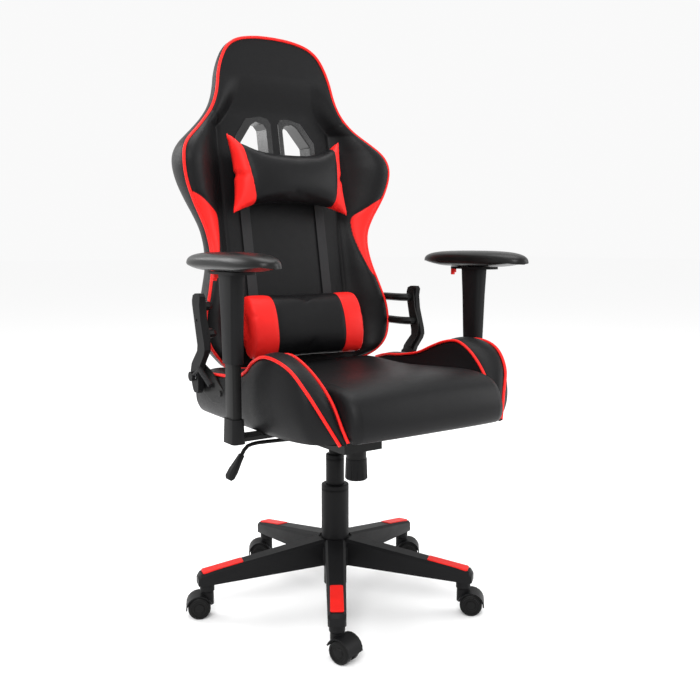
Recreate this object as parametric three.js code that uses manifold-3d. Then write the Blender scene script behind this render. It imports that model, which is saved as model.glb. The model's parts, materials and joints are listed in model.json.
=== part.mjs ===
// A gaming chair: five-legged base on casters, gas lift, tilting seat, sliding armrests and reclining back.
// Millimetres. +Z is up, the chair faces -Y and +X is the sitter's left. The lift column stands at x = 0.
// Every piece is placed in column coordinates (the column's axis at y = 0), and the whole chair is then moved
// by COLUMN_Y so that the origin lies under the middle of its box, on the floor.

import * as THREE from "three";
import { mergeVertices } from "three/addons/utils/BufferGeometryUtils.js";
import Module from "manifold-3d";

const wasm = await Module();
wasm.setup();

// ---------- driving dimensions ----------

const GAP = 0.3; // between neighbouring solids
const COLUMN_Y = -5.5;

// Star base
const LEG_COUNT = 5;
const FIRST_LEG_AZIMUTH = -33.4; // degrees from -Y towards +X
const CASTER_CIRCLE_RADIUS = 285;
const WHEEL_RADIUS = 23.5;
const casterHeight = 2 * WHEEL_RADIUS; // the base stands on the casters, so its heights start here
const LEG_TIP_RADIUS = CASTER_CIRCLE_RADIUS + 20;
const LEG_ROOT_WIDTH = 45;
const LEG_TIP_WIDTH = 35;
const LEG_TIP_TOP = casterHeight + 53; // height of the leg's top surface above its caster
const LEG_SLOPE = 9.6; // degrees
const LEG_TIP_BOTTOM = casterHeight + 25;
const LEG_ROOT_BOTTOM = casterHeight + 39;
const HUB_RADIUS = 40;
const HUB_DROP = 3.4; // the hub's top lies this far under the legs' roots
const legRise = (CASTER_CIRCLE_RADIUS - HUB_RADIUS) * Math.tan((LEG_SLOPE * Math.PI) / 180);
const HUB_TOP = LEG_TIP_TOP + legRise - HUB_DROP;
const HUB_BOTTOM = casterHeight + 37;
const FILLET_RADIUS = 26; // in the corners between the legs
const SOCKET_RADIUS = 15.5;
const SOCKET_BOTTOM = casterHeight + 10;
const INSERT_LENGTH = 88;
const INSERT_WIDTH = 26;
const INSERT_THICKNESS = 4;
const INSERT_PROUD = 1.8;
const INSERT_OUTER_RADIUS = CASTER_CIRCLE_RADIUS + 11;

// Casters
const WHEEL_WIDTH = 17.5;
const WHEEL_SIDES = 20;
const AXLE_RADIUS = 3;
const WEB_THICKNESS = 6;
const STEM_RADIUS = 5.5;
const STEM_TOP = casterHeight + 45;
const NECK_RADIUS = 13.5;
const CASTER_TRAIL = 17;
const HOOD_CLEARANCE = 1.5;
const HOOD_THICKNESS = 2.8;
// The way each wheel pair trails, in degrees from -Y towards +X.
const CASTER_AZIMUTHS = [18, 46, 51, -119, -115];

// Gas lift
const COLUMN_RADIUS = 25;
const COLUMN_WALL = 2;
const COLUMN_BOTTOM = 36;
const COLUMN_TOP = 255;
const COLUMN_FLOOR = 4;
const CYLINDER_RADIUS = 14;
const CYLINDER_WALL = 3;
const CYLINDER_BOTTOM = 130;
const CYLINDER_TOP = 372;
const BUTTON_RADIUS = 4;
const BUTTON_HEIGHT = 11;
const ROD_RADIUS = 5;
const PISTON_HEIGHT = 10;
const PISTON_TOP = 152;
const BEARING_THICKNESS = 7;
const BUSHING_BOTTOM = 98;
const BUSHING_TOP = 168;
const COVER_RADIUS = 30;
const COVER_WALL = 4;
const COVER_TOP = 261;
const SLEEVE_RADIUS = 20;
const SLEEVE_WALL = 2.5;
const SLEEVE_BOTTOM = 235;
const SLEEVE_TOP = 328;

// Tilt mechanism
const HOUSING_WIDTH = 96;
const HOUSING_FRONT = -106;
const HOUSING_REAR = 85;
const HOUSING_BOTTOM = 352;
const HOUSING_TOP = 402;
const HOUSING_WALL = 3;
const TILT_PIN_Y = -30;
const TILT_PIN_Z = 376;
const TILT_PIN_RADIUS = 5;
const PLATE_WIDTH = 190;
const PLATE_FRONT = -125;
const PLATE_REAR = 130;
const PLATE_THICKNESS = 4;
const FLANGE_LENGTH = 56;
const FLANGE_THICKNESS = 3;
const KNOB_Y = -80;
const KNOB_RADIUS = 24;
const KNOB_TOP = 334;
const KNOB_BOTTOM = 289;
const KNOB_RIBS = 12;
const CUP_RADIUS = 21.5;
const SPRING_RADIUS = 13;
const SPRING_WIRE_RADIUS = 2;
const SPRING_TURNS = 6;
const BOLT_RADIUS = 4;

// Height lever
const LEVER_Y = -75;
const LEVER_Z = 392;
const LEVER_RISE = 5; // from the housing to the bend
const LEVER_RADIUS = 4;
const LEVER_REACH = 246;
const BLOCK_WIDTH = 14;
const BLOCK_HEIGHT = 22;
const GRIP_LENGTH = 54;

// Seat
const PAN_BOTTOM = 428.5;
const PAN_THICKNESS = 10;
const PAN_HALF_WIDTH = 222;
const PAN_FRONT = -240;
const PAN_REAR = 118;
const CUSHION_HALF_WIDTH = 183;
const CUSHION_FRONT = -330;
const CUSHION_REAR = 130;
const CUSHION_TOP = 527;
const BOLSTER_TOP = 573;
const BOLSTER_OUTER = 261; // half of the seat's full width
const BOLSTER_PEAK_Y = -150;

// Armrests
const ARM_X = 300;
const ARM_Y = -109;
const POST_DEPTH = 36;
const POST_WIDTH = 18;
const ARM_TRAVEL = 70;
const SLEEVE_ROOF = 8;
const BRACKET_PLATE_THICKNESS = 8;
const BRACKET_INNER_X = 120;
const BRACKET_BAR_DEPTH = 42;
const BRACKET_PLATE_DEPTH = 84;
const FOOT_DEPTH = 46;
const FOOT_WIDTH = 26;
const FOOT_BOTTOM = 413;
const FOOT_TOP = 459;
const SLEEVE_BASE_Z = 562;
const SLEEVE_CAP_Z = 731;
const SLEEVE_BASE_DEPTH = 46;
const SLEEVE_CAP_DEPTH = 62;
const SLEEVE_BASE_WIDTH = 25;
const SLEEVE_CAP_WIDTH = 29;
const POST_TOP = SLEEVE_CAP_Z - SLEEVE_ROOF - ARM_TRAVEL - 4;
const PAD_LENGTH = 308;
const PAD_WIDTH = 83;
const PAD_THICKNESS = 35;
const TRIGGER_LENGTH = 10;
const TRIGGER_HEIGHT = 9;
const TRIGGER_WIDTH = 9;

// Recliner
const PIVOT_Y = 92;
const PIVOT_Z = 512;
const PIVOT_RADIUS = 6;
const LOWER_PLATE_X = 265;
const STEEL_THICKNESS = 4;
const RECLINER_HEIGHT = 170; // from the pivot to the cover's top
const COVER_PLATE_THICKNESS = 12;
const RECLINE_LEVER_REACH = 90;
const GRIP_RADIUS = 5.5;
const SPIRAL_RADIUS = 12.5;
const SPIRAL_WIRE_RADIUS = 1.2;

// Back
const BACK_LEAN = 10.2; // degrees from upright
const PANEL_Y = 182; // the centre panel's front surface at the height PANEL_Z
const PANEL_Z = 670;
const BACK_DEPTH = 56; // from the centre panel's front surface to the rear surface
const BACK_TOP = 1250;
const FRAME_TUBE_RADIUS = 11;
const FRAME_CLEARANCE = 0.8;
const FRAME_FOOT_Z = 548;
const RAIL_Z = 560;
const OPENING_BOTTOM = 944;
const OPENING_HEIGHT = 114;
const OPENING_INNER_X = 22;
const OPENING_OUTER_X = 93;
const TRIM_WIDTH = 13;
const TRIM_PROUD = 2;
const TRIM_DEPTH = 46; // behind the centre panel's front surface

// Pillows
const HEAD_PILLOW_Z = 936;
const HEAD_PILLOW_HALF_WIDTH = 146;
const HEAD_PILLOW_CORNER_HEIGHT = 176;
const HEAD_PILLOW_WAIST_HEIGHT = 118;
const HEAD_PILLOW_DEPTH = 76;
const LUMBAR_PILLOW_Z = 600;
const LUMBAR_PILLOW_LENGTH = 286;
const LUMBAR_PILLOW_HEIGHT = 146;
const LUMBAR_PILLOW_DEPTH = 80;
const PILLOW_CLEARANCE = 4;

// ---------- finishes ----------

const nylon = new THREE.MeshStandardMaterial({ color: 0x1b1b1c, roughness: 0.55, metalness: 0 });
const redPlastic = new THREE.MeshStandardMaterial({ color: 0xd8241c, roughness: 0.5, metalness: 0 });
const blackSteel = new THREE.MeshStandardMaterial({ color: 0x151515, roughness: 0.45, metalness: 0.6 });
const brightSteel = new THREE.MeshStandardMaterial({ color: 0xb8bbc0, roughness: 0.3, metalness: 1 });
const blackLeather = new THREE.MeshStandardMaterial({ color: 0x161616, roughness: 0.5, metalness: 0 });
const redLeather = new THREE.MeshStandardMaterial({ color: 0xd81f1a, roughness: 0.5, metalness: 0 });
const softFoam = new THREE.MeshStandardMaterial({ color: 0x202020, roughness: 0.7, metalness: 0 });

// ---------- working with solids ----------

// The geometry as a solid that can be joined and cut.
function solid(geometry) {
  const bare = geometry.clone();
  bare.deleteAttribute("normal");
  bare.deleteAttribute("uv");
  const merged = mergeVertices(bare, 1e-4);
  const mesh = new wasm.Mesh({
    numProp: 3,
    vertProperties: merged.attributes.position.array,
    triVerts: new Uint32Array(merged.index.array),
  });
  return new wasm.Manifold(mesh);
}

function geometryOf(manifold) {
  const mesh = manifold.getMesh();
  const geometry = new THREE.BufferGeometry();
  geometry.setAttribute("position", new THREE.BufferAttribute(mesh.vertProperties, 3));
  geometry.setIndex(new THREE.BufferAttribute(mesh.triVerts, 1));
  return geometry;
}

function join(first, ...others) {
  return geometryOf(others.reduce((body, other) => body.add(solid(other)), solid(first)));
}

function cut(first, ...tools) {
  return geometryOf(tools.reduce((body, tool) => body.subtract(solid(tool)), solid(first)));
}

// ---------- shapes ----------

// A surface of revolution about +Z from a closed run of [radius, height] points.
function turned(profile, segments = 24) {
  const points = profile.map(([radius, height]) => new THREE.Vector2(radius, height));
  if (profile[0][0] > 0) points.push(points[0].clone());
  return new THREE.LatheGeometry(points, segments).rotateX(Math.PI / 2);
}

// A tube's wall between two heights, open at both ends.
function pipe(inner, outer, bottom, top, segments = 24) {
  return turned([[inner, bottom], [outer, bottom], [outer, top], [inner, top]], segments);
}

function disc(radius, bottom, top, segments = 24) {
  return turned([[0, bottom], [radius, bottom], [radius, top], [0, top]], segments);
}

// A box by its lowest and highest corners.
function block(low, high) {
  const size = high.map((value, i) => value - low[i]);
  const centre = high.map((value, i) => (value + low[i]) / 2);
  return new THREE.BoxGeometry(...size).translate(...centre);
}

// A round bar between two points.
function bar(from, to, radius, segments = 16) {
  const start = new THREE.Vector3(...from);
  const along = new THREE.Vector3(...to).sub(start);
  const upward = new THREE.Vector3(0, 1, 0);
  const turn = new THREE.Quaternion().setFromUnitVectors(upward, along.clone().normalize());
  const middle = start.addScaledVector(along, 0.5);
  return new THREE.CylinderGeometry(radius, radius, along.length(), segments)
    .applyQuaternion(turn)
    .translate(middle.x, middle.y, middle.z);
}

function circleShape(radius, segments) {
  const shape = new THREE.Shape();
  for (let i = 0; i < segments; i++) {
    const angle = (2 * Math.PI * i) / segments;
    if (i === 0) shape.moveTo(radius, 0);
    else shape.lineTo(radius * Math.cos(angle), radius * Math.sin(angle));
  }
  return shape;
}

// A round bar along a smooth open curve through the points.
function bentBar(points, radius, steps, segments = 10) {
  const curve = new THREE.CatmullRomCurve3(points.map((p) => new THREE.Vector3(...p)), false, "centripetal");
  const section = circleShape(radius, segments);
  return new THREE.ExtrudeGeometry(section, { steps, extrudePath: curve, bevelEnabled: false });
}

function roundedRectangle(width, height, radius) {
  const x = width / 2;
  const y = height / 2;
  const shape = new THREE.Shape();
  shape.moveTo(-x + radius, -y);
  shape.lineTo(x - radius, -y);
  shape.quadraticCurveTo(x, -y, x, -y + radius);
  shape.lineTo(x, y - radius);
  shape.quadraticCurveTo(x, y, x - radius, y);
  shape.lineTo(-x + radius, y);
  shape.quadraticCurveTo(-x, y, -x, y - radius);
  shape.lineTo(-x, -y + radius);
  shape.quadraticCurveTo(-x, -y, -x + radius, -y);
  return shape;
}

function polygon(points) {
  return new THREE.Shape(points.map(([x, y]) => new THREE.Vector2(x, y)));
}

// A shape drawn in X and Y, raised along +Z from one height to another.
function raised(shape, bottom, top, curveSegments = 4) {
  const options = { depth: top - bottom, bevelEnabled: false, curveSegments };
  return new THREE.ExtrudeGeometry(shape, options).translate(0, 0, bottom);
}

// A side profile drawn in Y and Z, carried along X from one side to the other.
function carried(shape, fromX, toX, curveSegments = 6) {
  const options = { depth: toX - fromX, bevelEnabled: false, curveSegments };
  const geometry = new THREE.ExtrudeGeometry(shape, options);
  geometry.rotateX(Math.PI / 2).rotateZ(Math.PI / 2);
  return geometry.translate(fromX, 0, 0);
}

// The triangles that fill a flat ring, wound the way the ring runs.
function capFaces(ring) {
  const extent = [0, 1, 2].map((axis) => {
    const values = ring.map((point) => point[axis]);
    return Math.max(...values) - Math.min(...values);
  });
  const thin = extent.indexOf(Math.min(...extent));
  const [u, v] = [0, 1, 2].filter((axis) => axis !== thin);
  const outline = ring.map((point) => new THREE.Vector2(point[u], point[v]));
  const forward = Math.sign(THREE.ShapeUtils.area(outline));
  return THREE.ShapeUtils.triangulateShape(outline, []).map((face) => {
    const turn = Math.sign(THREE.ShapeUtils.area(face.map((i) => outline[i])));
    return turn === forward ? face : [...face].reverse();
  });
}

// A closed skin through rings of equally many points, with a flat cap on each end.
function loft(rings) {
  const count = rings[0].length;
  const positions = rings.flat().flat();
  const faces = [];
  for (let r = 0; r + 1 < rings.length; r++) {
    for (let i = 0; i < count; i++) {
      const a = r * count + i;
      const b = r * count + ((i + 1) % count);
      faces.push(a, b, b + count, a, b + count, a + count);
    }
  }
  const last = (rings.length - 1) * count;
  for (const [a, b, c] of capFaces(rings[0])) faces.push(a, c, b);
  for (const [a, b, c] of capFaces(rings[rings.length - 1])) faces.push(last + a, last + b, last + c);
  const geometry = new THREE.BufferGeometry();
  geometry.setAttribute("position", new THREE.Float32BufferAttribute(positions, 3));
  geometry.setIndex(faces);
  return geometry;
}

// A ring of points in a level plane: a rectangle with rounded corners.
function levelRing(x, y, z, width, depth, corner, cornerSteps = 3) {
  const ring = [];
  for (let quarter = 0; quarter < 4; quarter++) {
    const sx = quarter === 0 || quarter === 3 ? 1 : -1;
    const sy = quarter < 2 ? 1 : -1;
    for (let i = 0; i <= cornerSteps; i++) {
      const angle = (Math.PI / 2) * (quarter + i / cornerSteps);
      const cx = x + sx * (width / 2 - corner) + corner * Math.cos(angle);
      const cy = y + sy * (depth / 2 - corner) + corner * Math.sin(angle);
      ring.push([cx, cy, z]);
    }
  }
  return ring;
}

// The value at x on a smooth line through [x, value] points.
function along(points, x) {
  const last = points.length - 1;
  if (x <= points[0][0]) return points[0][1];
  if (x >= points[last][0]) return points[last][1];
  const i = points.findIndex(([next]) => next > x) - 1;
  const [x0, y0] = points[i];
  const [x1, y1] = points[i + 1];
  const slope = (j, k) => (points[k][1] - points[j][1]) / (points[k][0] - points[j][0]);
  const span = x1 - x0;
  const t = (x - x0) / span;
  const m0 = slope(Math.max(i - 1, 0), i + 1) * span;
  const m1 = slope(i, Math.min(i + 2, last)) * span;
  const t2 = t * t;
  const t3 = t2 * t;
  return (2 * t3 - 3 * t2 + 1) * y0 + (t3 - 2 * t2 + t) * m0 + (3 * t2 - 2 * t3) * y1 + (t3 - t2) * m1;
}

// ---------- scene graph ----------

const chair = new THREE.Group();
chair.position.y = COLUMN_Y;

function piece(name, geometry, material, parent = chair) {
  const mesh = new THREE.Mesh(geometry, material);
  mesh.name = name;
  parent.add(mesh);
  return mesh;
}

// A group turned about Z so that its +X runs along the azimuth, counted from -Y towards +X.
function facing(azimuth, parent = chair) {
  const group = new THREE.Group();
  group.rotation.z = THREE.MathUtils.degToRad(azimuth - 90);
  parent.add(group);
  return group;
}

// The sitter's left is +X. The other side is its mirror image.
function side(name, parent = chair) {
  const group = new THREE.Group();
  if (name === "right") group.scale.x = -1;
  parent.add(group);
  return group;
}

// ---------- star base ----------

const legTan = Math.tan(THREE.MathUtils.degToRad(LEG_SLOPE));

function legTop(radius) {
  return LEG_TIP_TOP + (CASTER_CIRCLE_RADIUS - radius) * legTan;
}

// One leg along +X: a tapering box whose top edges are bevelled.
function leg() {
  const root = HUB_RADIUS / 2;
  const bevel = 5;
  const stations = [
    [root, LEG_ROOT_WIDTH, 0, LEG_ROOT_BOTTOM],
    [CASTER_CIRCLE_RADIUS - SOCKET_RADIUS, LEG_TIP_WIDTH + 1, 0, LEG_TIP_BOTTOM],
    [LEG_TIP_RADIUS - 6, LEG_TIP_WIDTH, 1.5, LEG_TIP_BOTTOM - 1],
    [LEG_TIP_RADIUS, LEG_TIP_WIDTH - 7, 8, LEG_TIP_BOTTOM],
  ];
  const rings = stations.map(([radius, width, drop, bottom]) => {
    const top = legTop(radius) - drop;
    const y = width / 2;
    return [
      [radius, -y, bottom],
      [radius, y, bottom],
      [radius, y, top - bevel],
      [radius, y - bevel, top],
      [radius, bevel - y, top],
      [radius, -y, top - bevel],
    ];
  });
  return loft(rings);
}

// The insert's blank, lying on the leg's sloping top.
function insertBlank(length, width, depthBelow, heightAbove) {
  const shape = roundedRectangle(length, width, 4);
  const geometry = raised(shape, -depthBelow, heightAbove, 2);
  const middle = INSERT_OUTER_RADIUS - INSERT_LENGTH / 2;
  return geometry.rotateY(Math.atan(legTan)).translate(middle, 0, legTop(middle));
}

// The thin web that rounds the corners between the legs.
function web() {
  const points = [];
  for (let i = 0; i < 2 * LEG_COUNT; i++) {
    const turn = THREE.MathUtils.degToRad(FIRST_LEG_AZIMUTH - 90 + (i * 180) / LEG_COUNT);
    const reach = i % 2 === 0 ? HUB_RADIUS + FILLET_RADIUS : HUB_RADIUS + 2;
    const spread = i % 2 === 0 ? 0.3 : 0.12;
    for (const offset of [-spread, spread]) {
      points.push([reach * Math.cos(turn + offset), reach * Math.sin(turn + offset)]);
    }
  }
  return raised(polygon(points), HUB_BOTTOM + 4, HUB_TOP - 12);
}

function baseStar() {
  const hub = disc(HUB_RADIUS, HUB_BOTTOM, HUB_TOP);
  const arms = [];
  const cuts = [disc(COLUMN_RADIUS + GAP, HUB_BOTTOM - 1, HUB_TOP + 10)];
  cuts.push(pipe(COVER_RADIUS - COVER_WALL - 2, COVER_RADIUS + 6, HUB_TOP, HUB_TOP + 20));
  const recess = INSERT_THICKNESS - INSERT_PROUD + GAP;
  for (let i = 0; i < LEG_COUNT; i++) {
    const turn = THREE.MathUtils.degToRad(FIRST_LEG_AZIMUTH - 90 + (i * 360) / LEG_COUNT);
    const socket = disc(SOCKET_RADIUS, SOCKET_BOTTOM, LEG_TIP_TOP - 8, 16);
    const hole = disc(STEM_RADIUS + GAP + 0.3, SOCKET_BOTTOM - 1, STEM_TOP + GAP, 12);
    arms.push(leg().rotateZ(turn));
    arms.push(socket.translate(CASTER_CIRCLE_RADIUS, 0, 0).rotateZ(turn));
    cuts.push(hole.translate(CASTER_CIRCLE_RADIUS, 0, 0).rotateZ(turn));
    cuts.push(insertBlank(INSERT_LENGTH + 2 * GAP, INSERT_WIDTH + 2 * GAP, recess, 10).rotateZ(turn));
  }
  return cut(join(hub, web(), ...arms), ...cuts);
}

piece("base_star", baseStar(), nylon);

for (let i = 0; i < LEG_COUNT; i++) {
  const spoke = facing(FIRST_LEG_AZIMUTH + (i * 360) / LEG_COUNT);
  const insert = insertBlank(INSERT_LENGTH, INSERT_WIDTH, INSERT_THICKNESS - INSERT_PROUD, INSERT_PROUD);
  piece("leg_insert_" + (i + 1), insert, redPlastic, spoke);
}

// ---------- casters ----------

const wheelSpan = WEB_THICKNESS / 2 + 0.8 + WHEEL_WIDTH;
const hoodInner = WHEEL_RADIUS + HOOD_CLEARANCE;
const hoodOuter = hoodInner + HOOD_THICKNESS;

// The hooded fork: a central web, the hood that arches over both wheels, the boss and the steel stem.
function casterFork() {
  const from = THREE.MathUtils.degToRad(-4);
  const to = THREE.MathUtils.degToRad(160);
  const steps = 9;
  const centre = new THREE.Vector2(CASTER_TRAIL, WHEEL_RADIUS);
  const arc = (radius, start, end, count) => {
    const points = [];
    for (let i = 0; i <= count; i++) {
      const angle = start + ((end - start) * i) / count;
      points.push([centre.x + radius * Math.cos(angle), centre.y + radius * Math.sin(angle)]);
    }
    return points;
  };
  const axleEye = 2 * AXLE_RADIUS + 1;
  const hoodShape = polygon([...arc(hoodOuter, from, to, steps), ...arc(hoodInner, to, from, steps)]);
  const webInner = arc(axleEye, to, from + 2 * Math.PI, 4);
  const webShape = polygon([...arc(hoodOuter - 0.5, from, to, steps), ...webInner]);
  const upright = (shape, width) => raised(shape, -width / 2, width / 2).rotateX(Math.PI / 2);
  const hood = upright(hoodShape, 2 * wheelSpan);
  const web = upright(webShape, WEB_THICKNESS);
  const room = bar([centre.x, -SOCKET_RADIUS, centre.y], [centre.x, SOCKET_RADIUS, centre.y], hoodInner, 24);
  const neck = cut(disc(NECK_RADIUS, WHEEL_RADIUS + 4, SOCKET_BOTTOM - 2, 16), room);
  const stem = disc(STEM_RADIUS, casterHeight + 3, STEM_TOP, 12);
  const axleHole = bar([centre.x, -20, centre.y], [centre.x, 20, centre.y], AXLE_RADIUS + 2 * GAP, 12);
  return cut(join(hood, web, neck, stem), axleHole);
}

// Both wheels and their axle, turned as one about Y, standing on a flat of their rims.
function wheelPair() {
  const rim = WHEEL_RADIUS / Math.cos(Math.PI / WHEEL_SIDES);
  const inner = WEB_THICKNESS / 2 + 0.8;
  const half = [
    [AXLE_RADIUS, inner],
    [rim, inner],
    [rim, wheelSpan - 3],
    [rim - 3, wheelSpan - 0.6],
    [0, wheelSpan - 0.6],
  ];
  const other = half.map(([radius, height]) => [radius, -height]).reverse();
  const wheel = turned([...other, ...half], WHEEL_SIDES).rotateZ(Math.PI / WHEEL_SIDES).rotateX(Math.PI / 2);
  return wheel.translate(CASTER_TRAIL, 0, WHEEL_RADIUS);
}

for (let i = 0; i < LEG_COUNT; i++) {
  const spoke = facing(FIRST_LEG_AZIMUTH + (i * 360) / LEG_COUNT);
  const mount = new THREE.Group();
  const trail = CASTER_AZIMUTHS[i] - FIRST_LEG_AZIMUTH - (i * 360) / LEG_COUNT;
  mount.position.x = CASTER_CIRCLE_RADIUS;
  mount.rotation.z = THREE.MathUtils.degToRad(trail);
  spoke.add(mount);
  piece("caster_fork_" + (i + 1), casterFork(), nylon, mount);
  piece("caster_wheels_" + (i + 1), wheelPair(), nylon, mount);
}

// ---------- gas lift ----------

const columnBore = COLUMN_RADIUS - COLUMN_WALL;

function liftColumn() {
  return turned([
    [ROD_RADIUS + GAP, COLUMN_BOTTOM],
    [COLUMN_RADIUS, COLUMN_BOTTOM],
    [COLUMN_RADIUS, COLUMN_TOP],
    [columnBore, COLUMN_TOP],
    [columnBore, COLUMN_BOTTOM + COLUMN_FLOOR],
    [ROD_RADIUS + GAP, COLUMN_BOTTOM + COLUMN_FLOOR],
  ]);
}

// The rod is clipped under the column's floor. Its piston stays still while the cylinder slides over it.
function pistonRod() {
  const pistonRadius = CYLINDER_RADIUS - CYLINDER_WALL - GAP;
  return turned([
    [0, COLUMN_BOTTOM - 5],
    [ROD_RADIUS + 3, COLUMN_BOTTOM - 5],
    [ROD_RADIUS + 3, COLUMN_BOTTOM - GAP],
    [ROD_RADIUS, COLUMN_BOTTOM - GAP],
    [ROD_RADIUS, PISTON_TOP - PISTON_HEIGHT],
    [pistonRadius, PISTON_TOP - PISTON_HEIGHT],
    [pistonRadius, PISTON_TOP],
    [0, PISTON_TOP],
  ], 20);
}

function gasCylinder() {
  const inner = CYLINDER_RADIUS - CYLINDER_WALL;
  const floor = 6;
  return turned([
    [ROD_RADIUS + GAP, CYLINDER_BOTTOM],
    [CYLINDER_RADIUS, CYLINDER_BOTTOM],
    [CYLINDER_RADIUS, CYLINDER_TOP - 4],
    [CYLINDER_RADIUS - 2, CYLINDER_TOP],
    [BUTTON_RADIUS, CYLINDER_TOP],
    [BUTTON_RADIUS, CYLINDER_TOP + BUTTON_HEIGHT],
    [0, CYLINDER_TOP + BUTTON_HEIGHT],
    [0, CYLINDER_TOP - 20],
    [inner, CYLINDER_TOP - 20],
    [inner, CYLINDER_BOTTOM + floor],
    [ROD_RADIUS + GAP, CYLINDER_BOTTOM + floor],
  ]);
}

function lowerCover() {
  const inner = COVER_RADIUS - COVER_WALL;
  const lip = SLEEVE_RADIUS + 0.8;
  return turned([
    [inner, HUB_TOP + GAP],
    [COVER_RADIUS, HUB_TOP + GAP],
    [COVER_RADIUS, COVER_TOP - 1.5],
    [COVER_RADIUS - 1.5, COVER_TOP],
    [lip, COVER_TOP],
    [lip, COLUMN_TOP + GAP],
    [inner, COLUMN_TOP + GAP],
  ], 24);
}

function coverSleeve() {
  const inner = SLEEVE_RADIUS - SLEEVE_WALL;
  const lip = CYLINDER_RADIUS + GAP;
  return turned([
    [inner, SLEEVE_BOTTOM],
    [SLEEVE_RADIUS, SLEEVE_BOTTOM],
    [SLEEVE_RADIUS, SLEEVE_TOP - 1],
    [SLEEVE_RADIUS - 1, SLEEVE_TOP],
    [lip, SLEEVE_TOP],
    [lip, SLEEVE_TOP - 4],
    [inner, SLEEVE_TOP - 4],
  ], 24);
}

const bearingBottom = COLUMN_BOTTOM + COLUMN_FLOOR + GAP;
const bearing = pipe(ROD_RADIUS + GAP, CYLINDER_RADIUS, bearingBottom, bearingBottom + BEARING_THICKNESS);
const bushing = pipe(CYLINDER_RADIUS + GAP, columnBore - GAP, BUSHING_BOTTOM, BUSHING_TOP);
piece("lift_column", liftColumn(), blackSteel);
piece("thrust_bearing", bearing, brightSteel);
piece("guide_bushing", bushing, nylon);
piece("piston_rod", pistonRod(), brightSteel);
piece("gas_cylinder", gasCylinder(), blackSteel);
piece("lower_cover", lowerCover(), nylon);
piece("cover_sleeve", coverSleeve(), nylon);

// ---------- tilt mechanism ----------

const housingHalf = HOUSING_WIDTH / 2;
const plateTop = PAN_BOTTOM - GAP;
const plateBottom = plateTop - PLATE_THICKNESS;
const cupInner = SPRING_RADIUS + SPRING_WIRE_RADIUS + 1.5;

// A pressed steel channel, open on top, with the cylinder's socket and the tension spring's cup.
function mechanismHousing() {
  const rearTop = HOUSING_TOP - 26;
  const outline = polygon([
    [HOUSING_FRONT, HOUSING_BOTTOM],
    [HOUSING_REAR, HOUSING_BOTTOM],
    [HOUSING_REAR, rearTop],
    [TILT_PIN_Y, HOUSING_TOP],
    [HOUSING_FRONT, HOUSING_TOP],
  ]);
  const shell = carried(outline, -housingHalf, housingHalf);
  const inside = block(
    [HOUSING_WALL - housingHalf, HOUSING_FRONT + HOUSING_WALL, HOUSING_BOTTOM + HOUSING_WALL],
    [housingHalf - HOUSING_WALL, HOUSING_REAR - HOUSING_WALL, HOUSING_TOP + 20],
  );
  const socket = disc(CYLINDER_RADIUS + 7, HOUSING_BOTTOM - 6, CYLINDER_TOP - 6);
  const socketBore = disc(CYLINDER_RADIUS + GAP, HOUSING_BOTTOM - 8, CYLINDER_TOP + 10);
  const cup = disc(CUP_RADIUS, KNOB_TOP + GAP, HOUSING_BOTTOM + HOUSING_WALL).translate(0, KNOB_Y, 0);
  const cupBore = disc(cupInner, KNOB_TOP - 2, HOUSING_TOP).translate(0, KNOB_Y, 0);
  const pinHole = bar([-70, TILT_PIN_Y, TILT_PIN_Z], [70, TILT_PIN_Y, TILT_PIN_Z], TILT_PIN_RADIUS + GAP);
  const leverHole = bar([-70, LEVER_Y, LEVER_Z], [-30, LEVER_Y, LEVER_Z], LEVER_RADIUS + 3.5);
  return cut(join(cut(shell, inside), socket, cup), socketBore, cupBore, pinHole, leverHole);
}

// The plate under the seat, with two flanges that hang beside the housing and turn on the tilt pin.
function seatPlate() {
  const half = PLATE_WIDTH / 2;
  const plate = block([-half, PLATE_FRONT, plateBottom], [half, PLATE_REAR, plateTop]);
  const inner = housingHalf + 2;
  const low = TILT_PIN_Z - 12;
  const front = TILT_PIN_Y - FLANGE_LENGTH / 2;
  const rear = TILT_PIN_Y + FLANGE_LENGTH / 2;
  const flanges = [-1, 1].map((s) => {
    const edges = [s * inner, s * (inner + FLANGE_THICKNESS)].sort((a, b) => a - b);
    return block([edges[0], front, low], [edges[1], rear, plateBottom + 1]);
  });
  const hole = bar([-80, TILT_PIN_Y, TILT_PIN_Z], [80, TILT_PIN_Y, TILT_PIN_Z], TILT_PIN_RADIUS + GAP);
  return cut(join(plate, ...flanges), hole);
}

function tiltPin() {
  const end = housingHalf + 2 + FLANGE_THICKNESS;
  const shaft = bar([-end - 4, TILT_PIN_Y, TILT_PIN_Z], [end + 4, TILT_PIN_Y, TILT_PIN_Z], TILT_PIN_RADIUS);
  const headStart = [end + GAP, TILT_PIN_Y, TILT_PIN_Z];
  return join(shaft, bar(headStart, [end + 5, TILT_PIN_Y, TILT_PIN_Z], TILT_PIN_RADIUS + 3));
}

class Helix extends THREE.Curve {
  constructor(radius, bottom, top, turns) {
    super();
    Object.assign(this, { radius, bottom, top, turns });
  }

  getPoint(t, target = new THREE.Vector3()) {
    const angle = 2 * Math.PI * this.turns * t;
    const z = this.bottom + (this.top - this.bottom) * t;
    return target.set(this.radius * Math.cos(angle), this.radius * Math.sin(angle), z);
  }
}

function coilSpring(radius, wire, bottom, top, turns) {
  const path = new Helix(radius, bottom, top, turns);
  const options = { steps: turns * 10, extrudePath: path, bevelEnabled: false };
  return new THREE.ExtrudeGeometry(circleShape(wire, 5), options);
}

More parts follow.
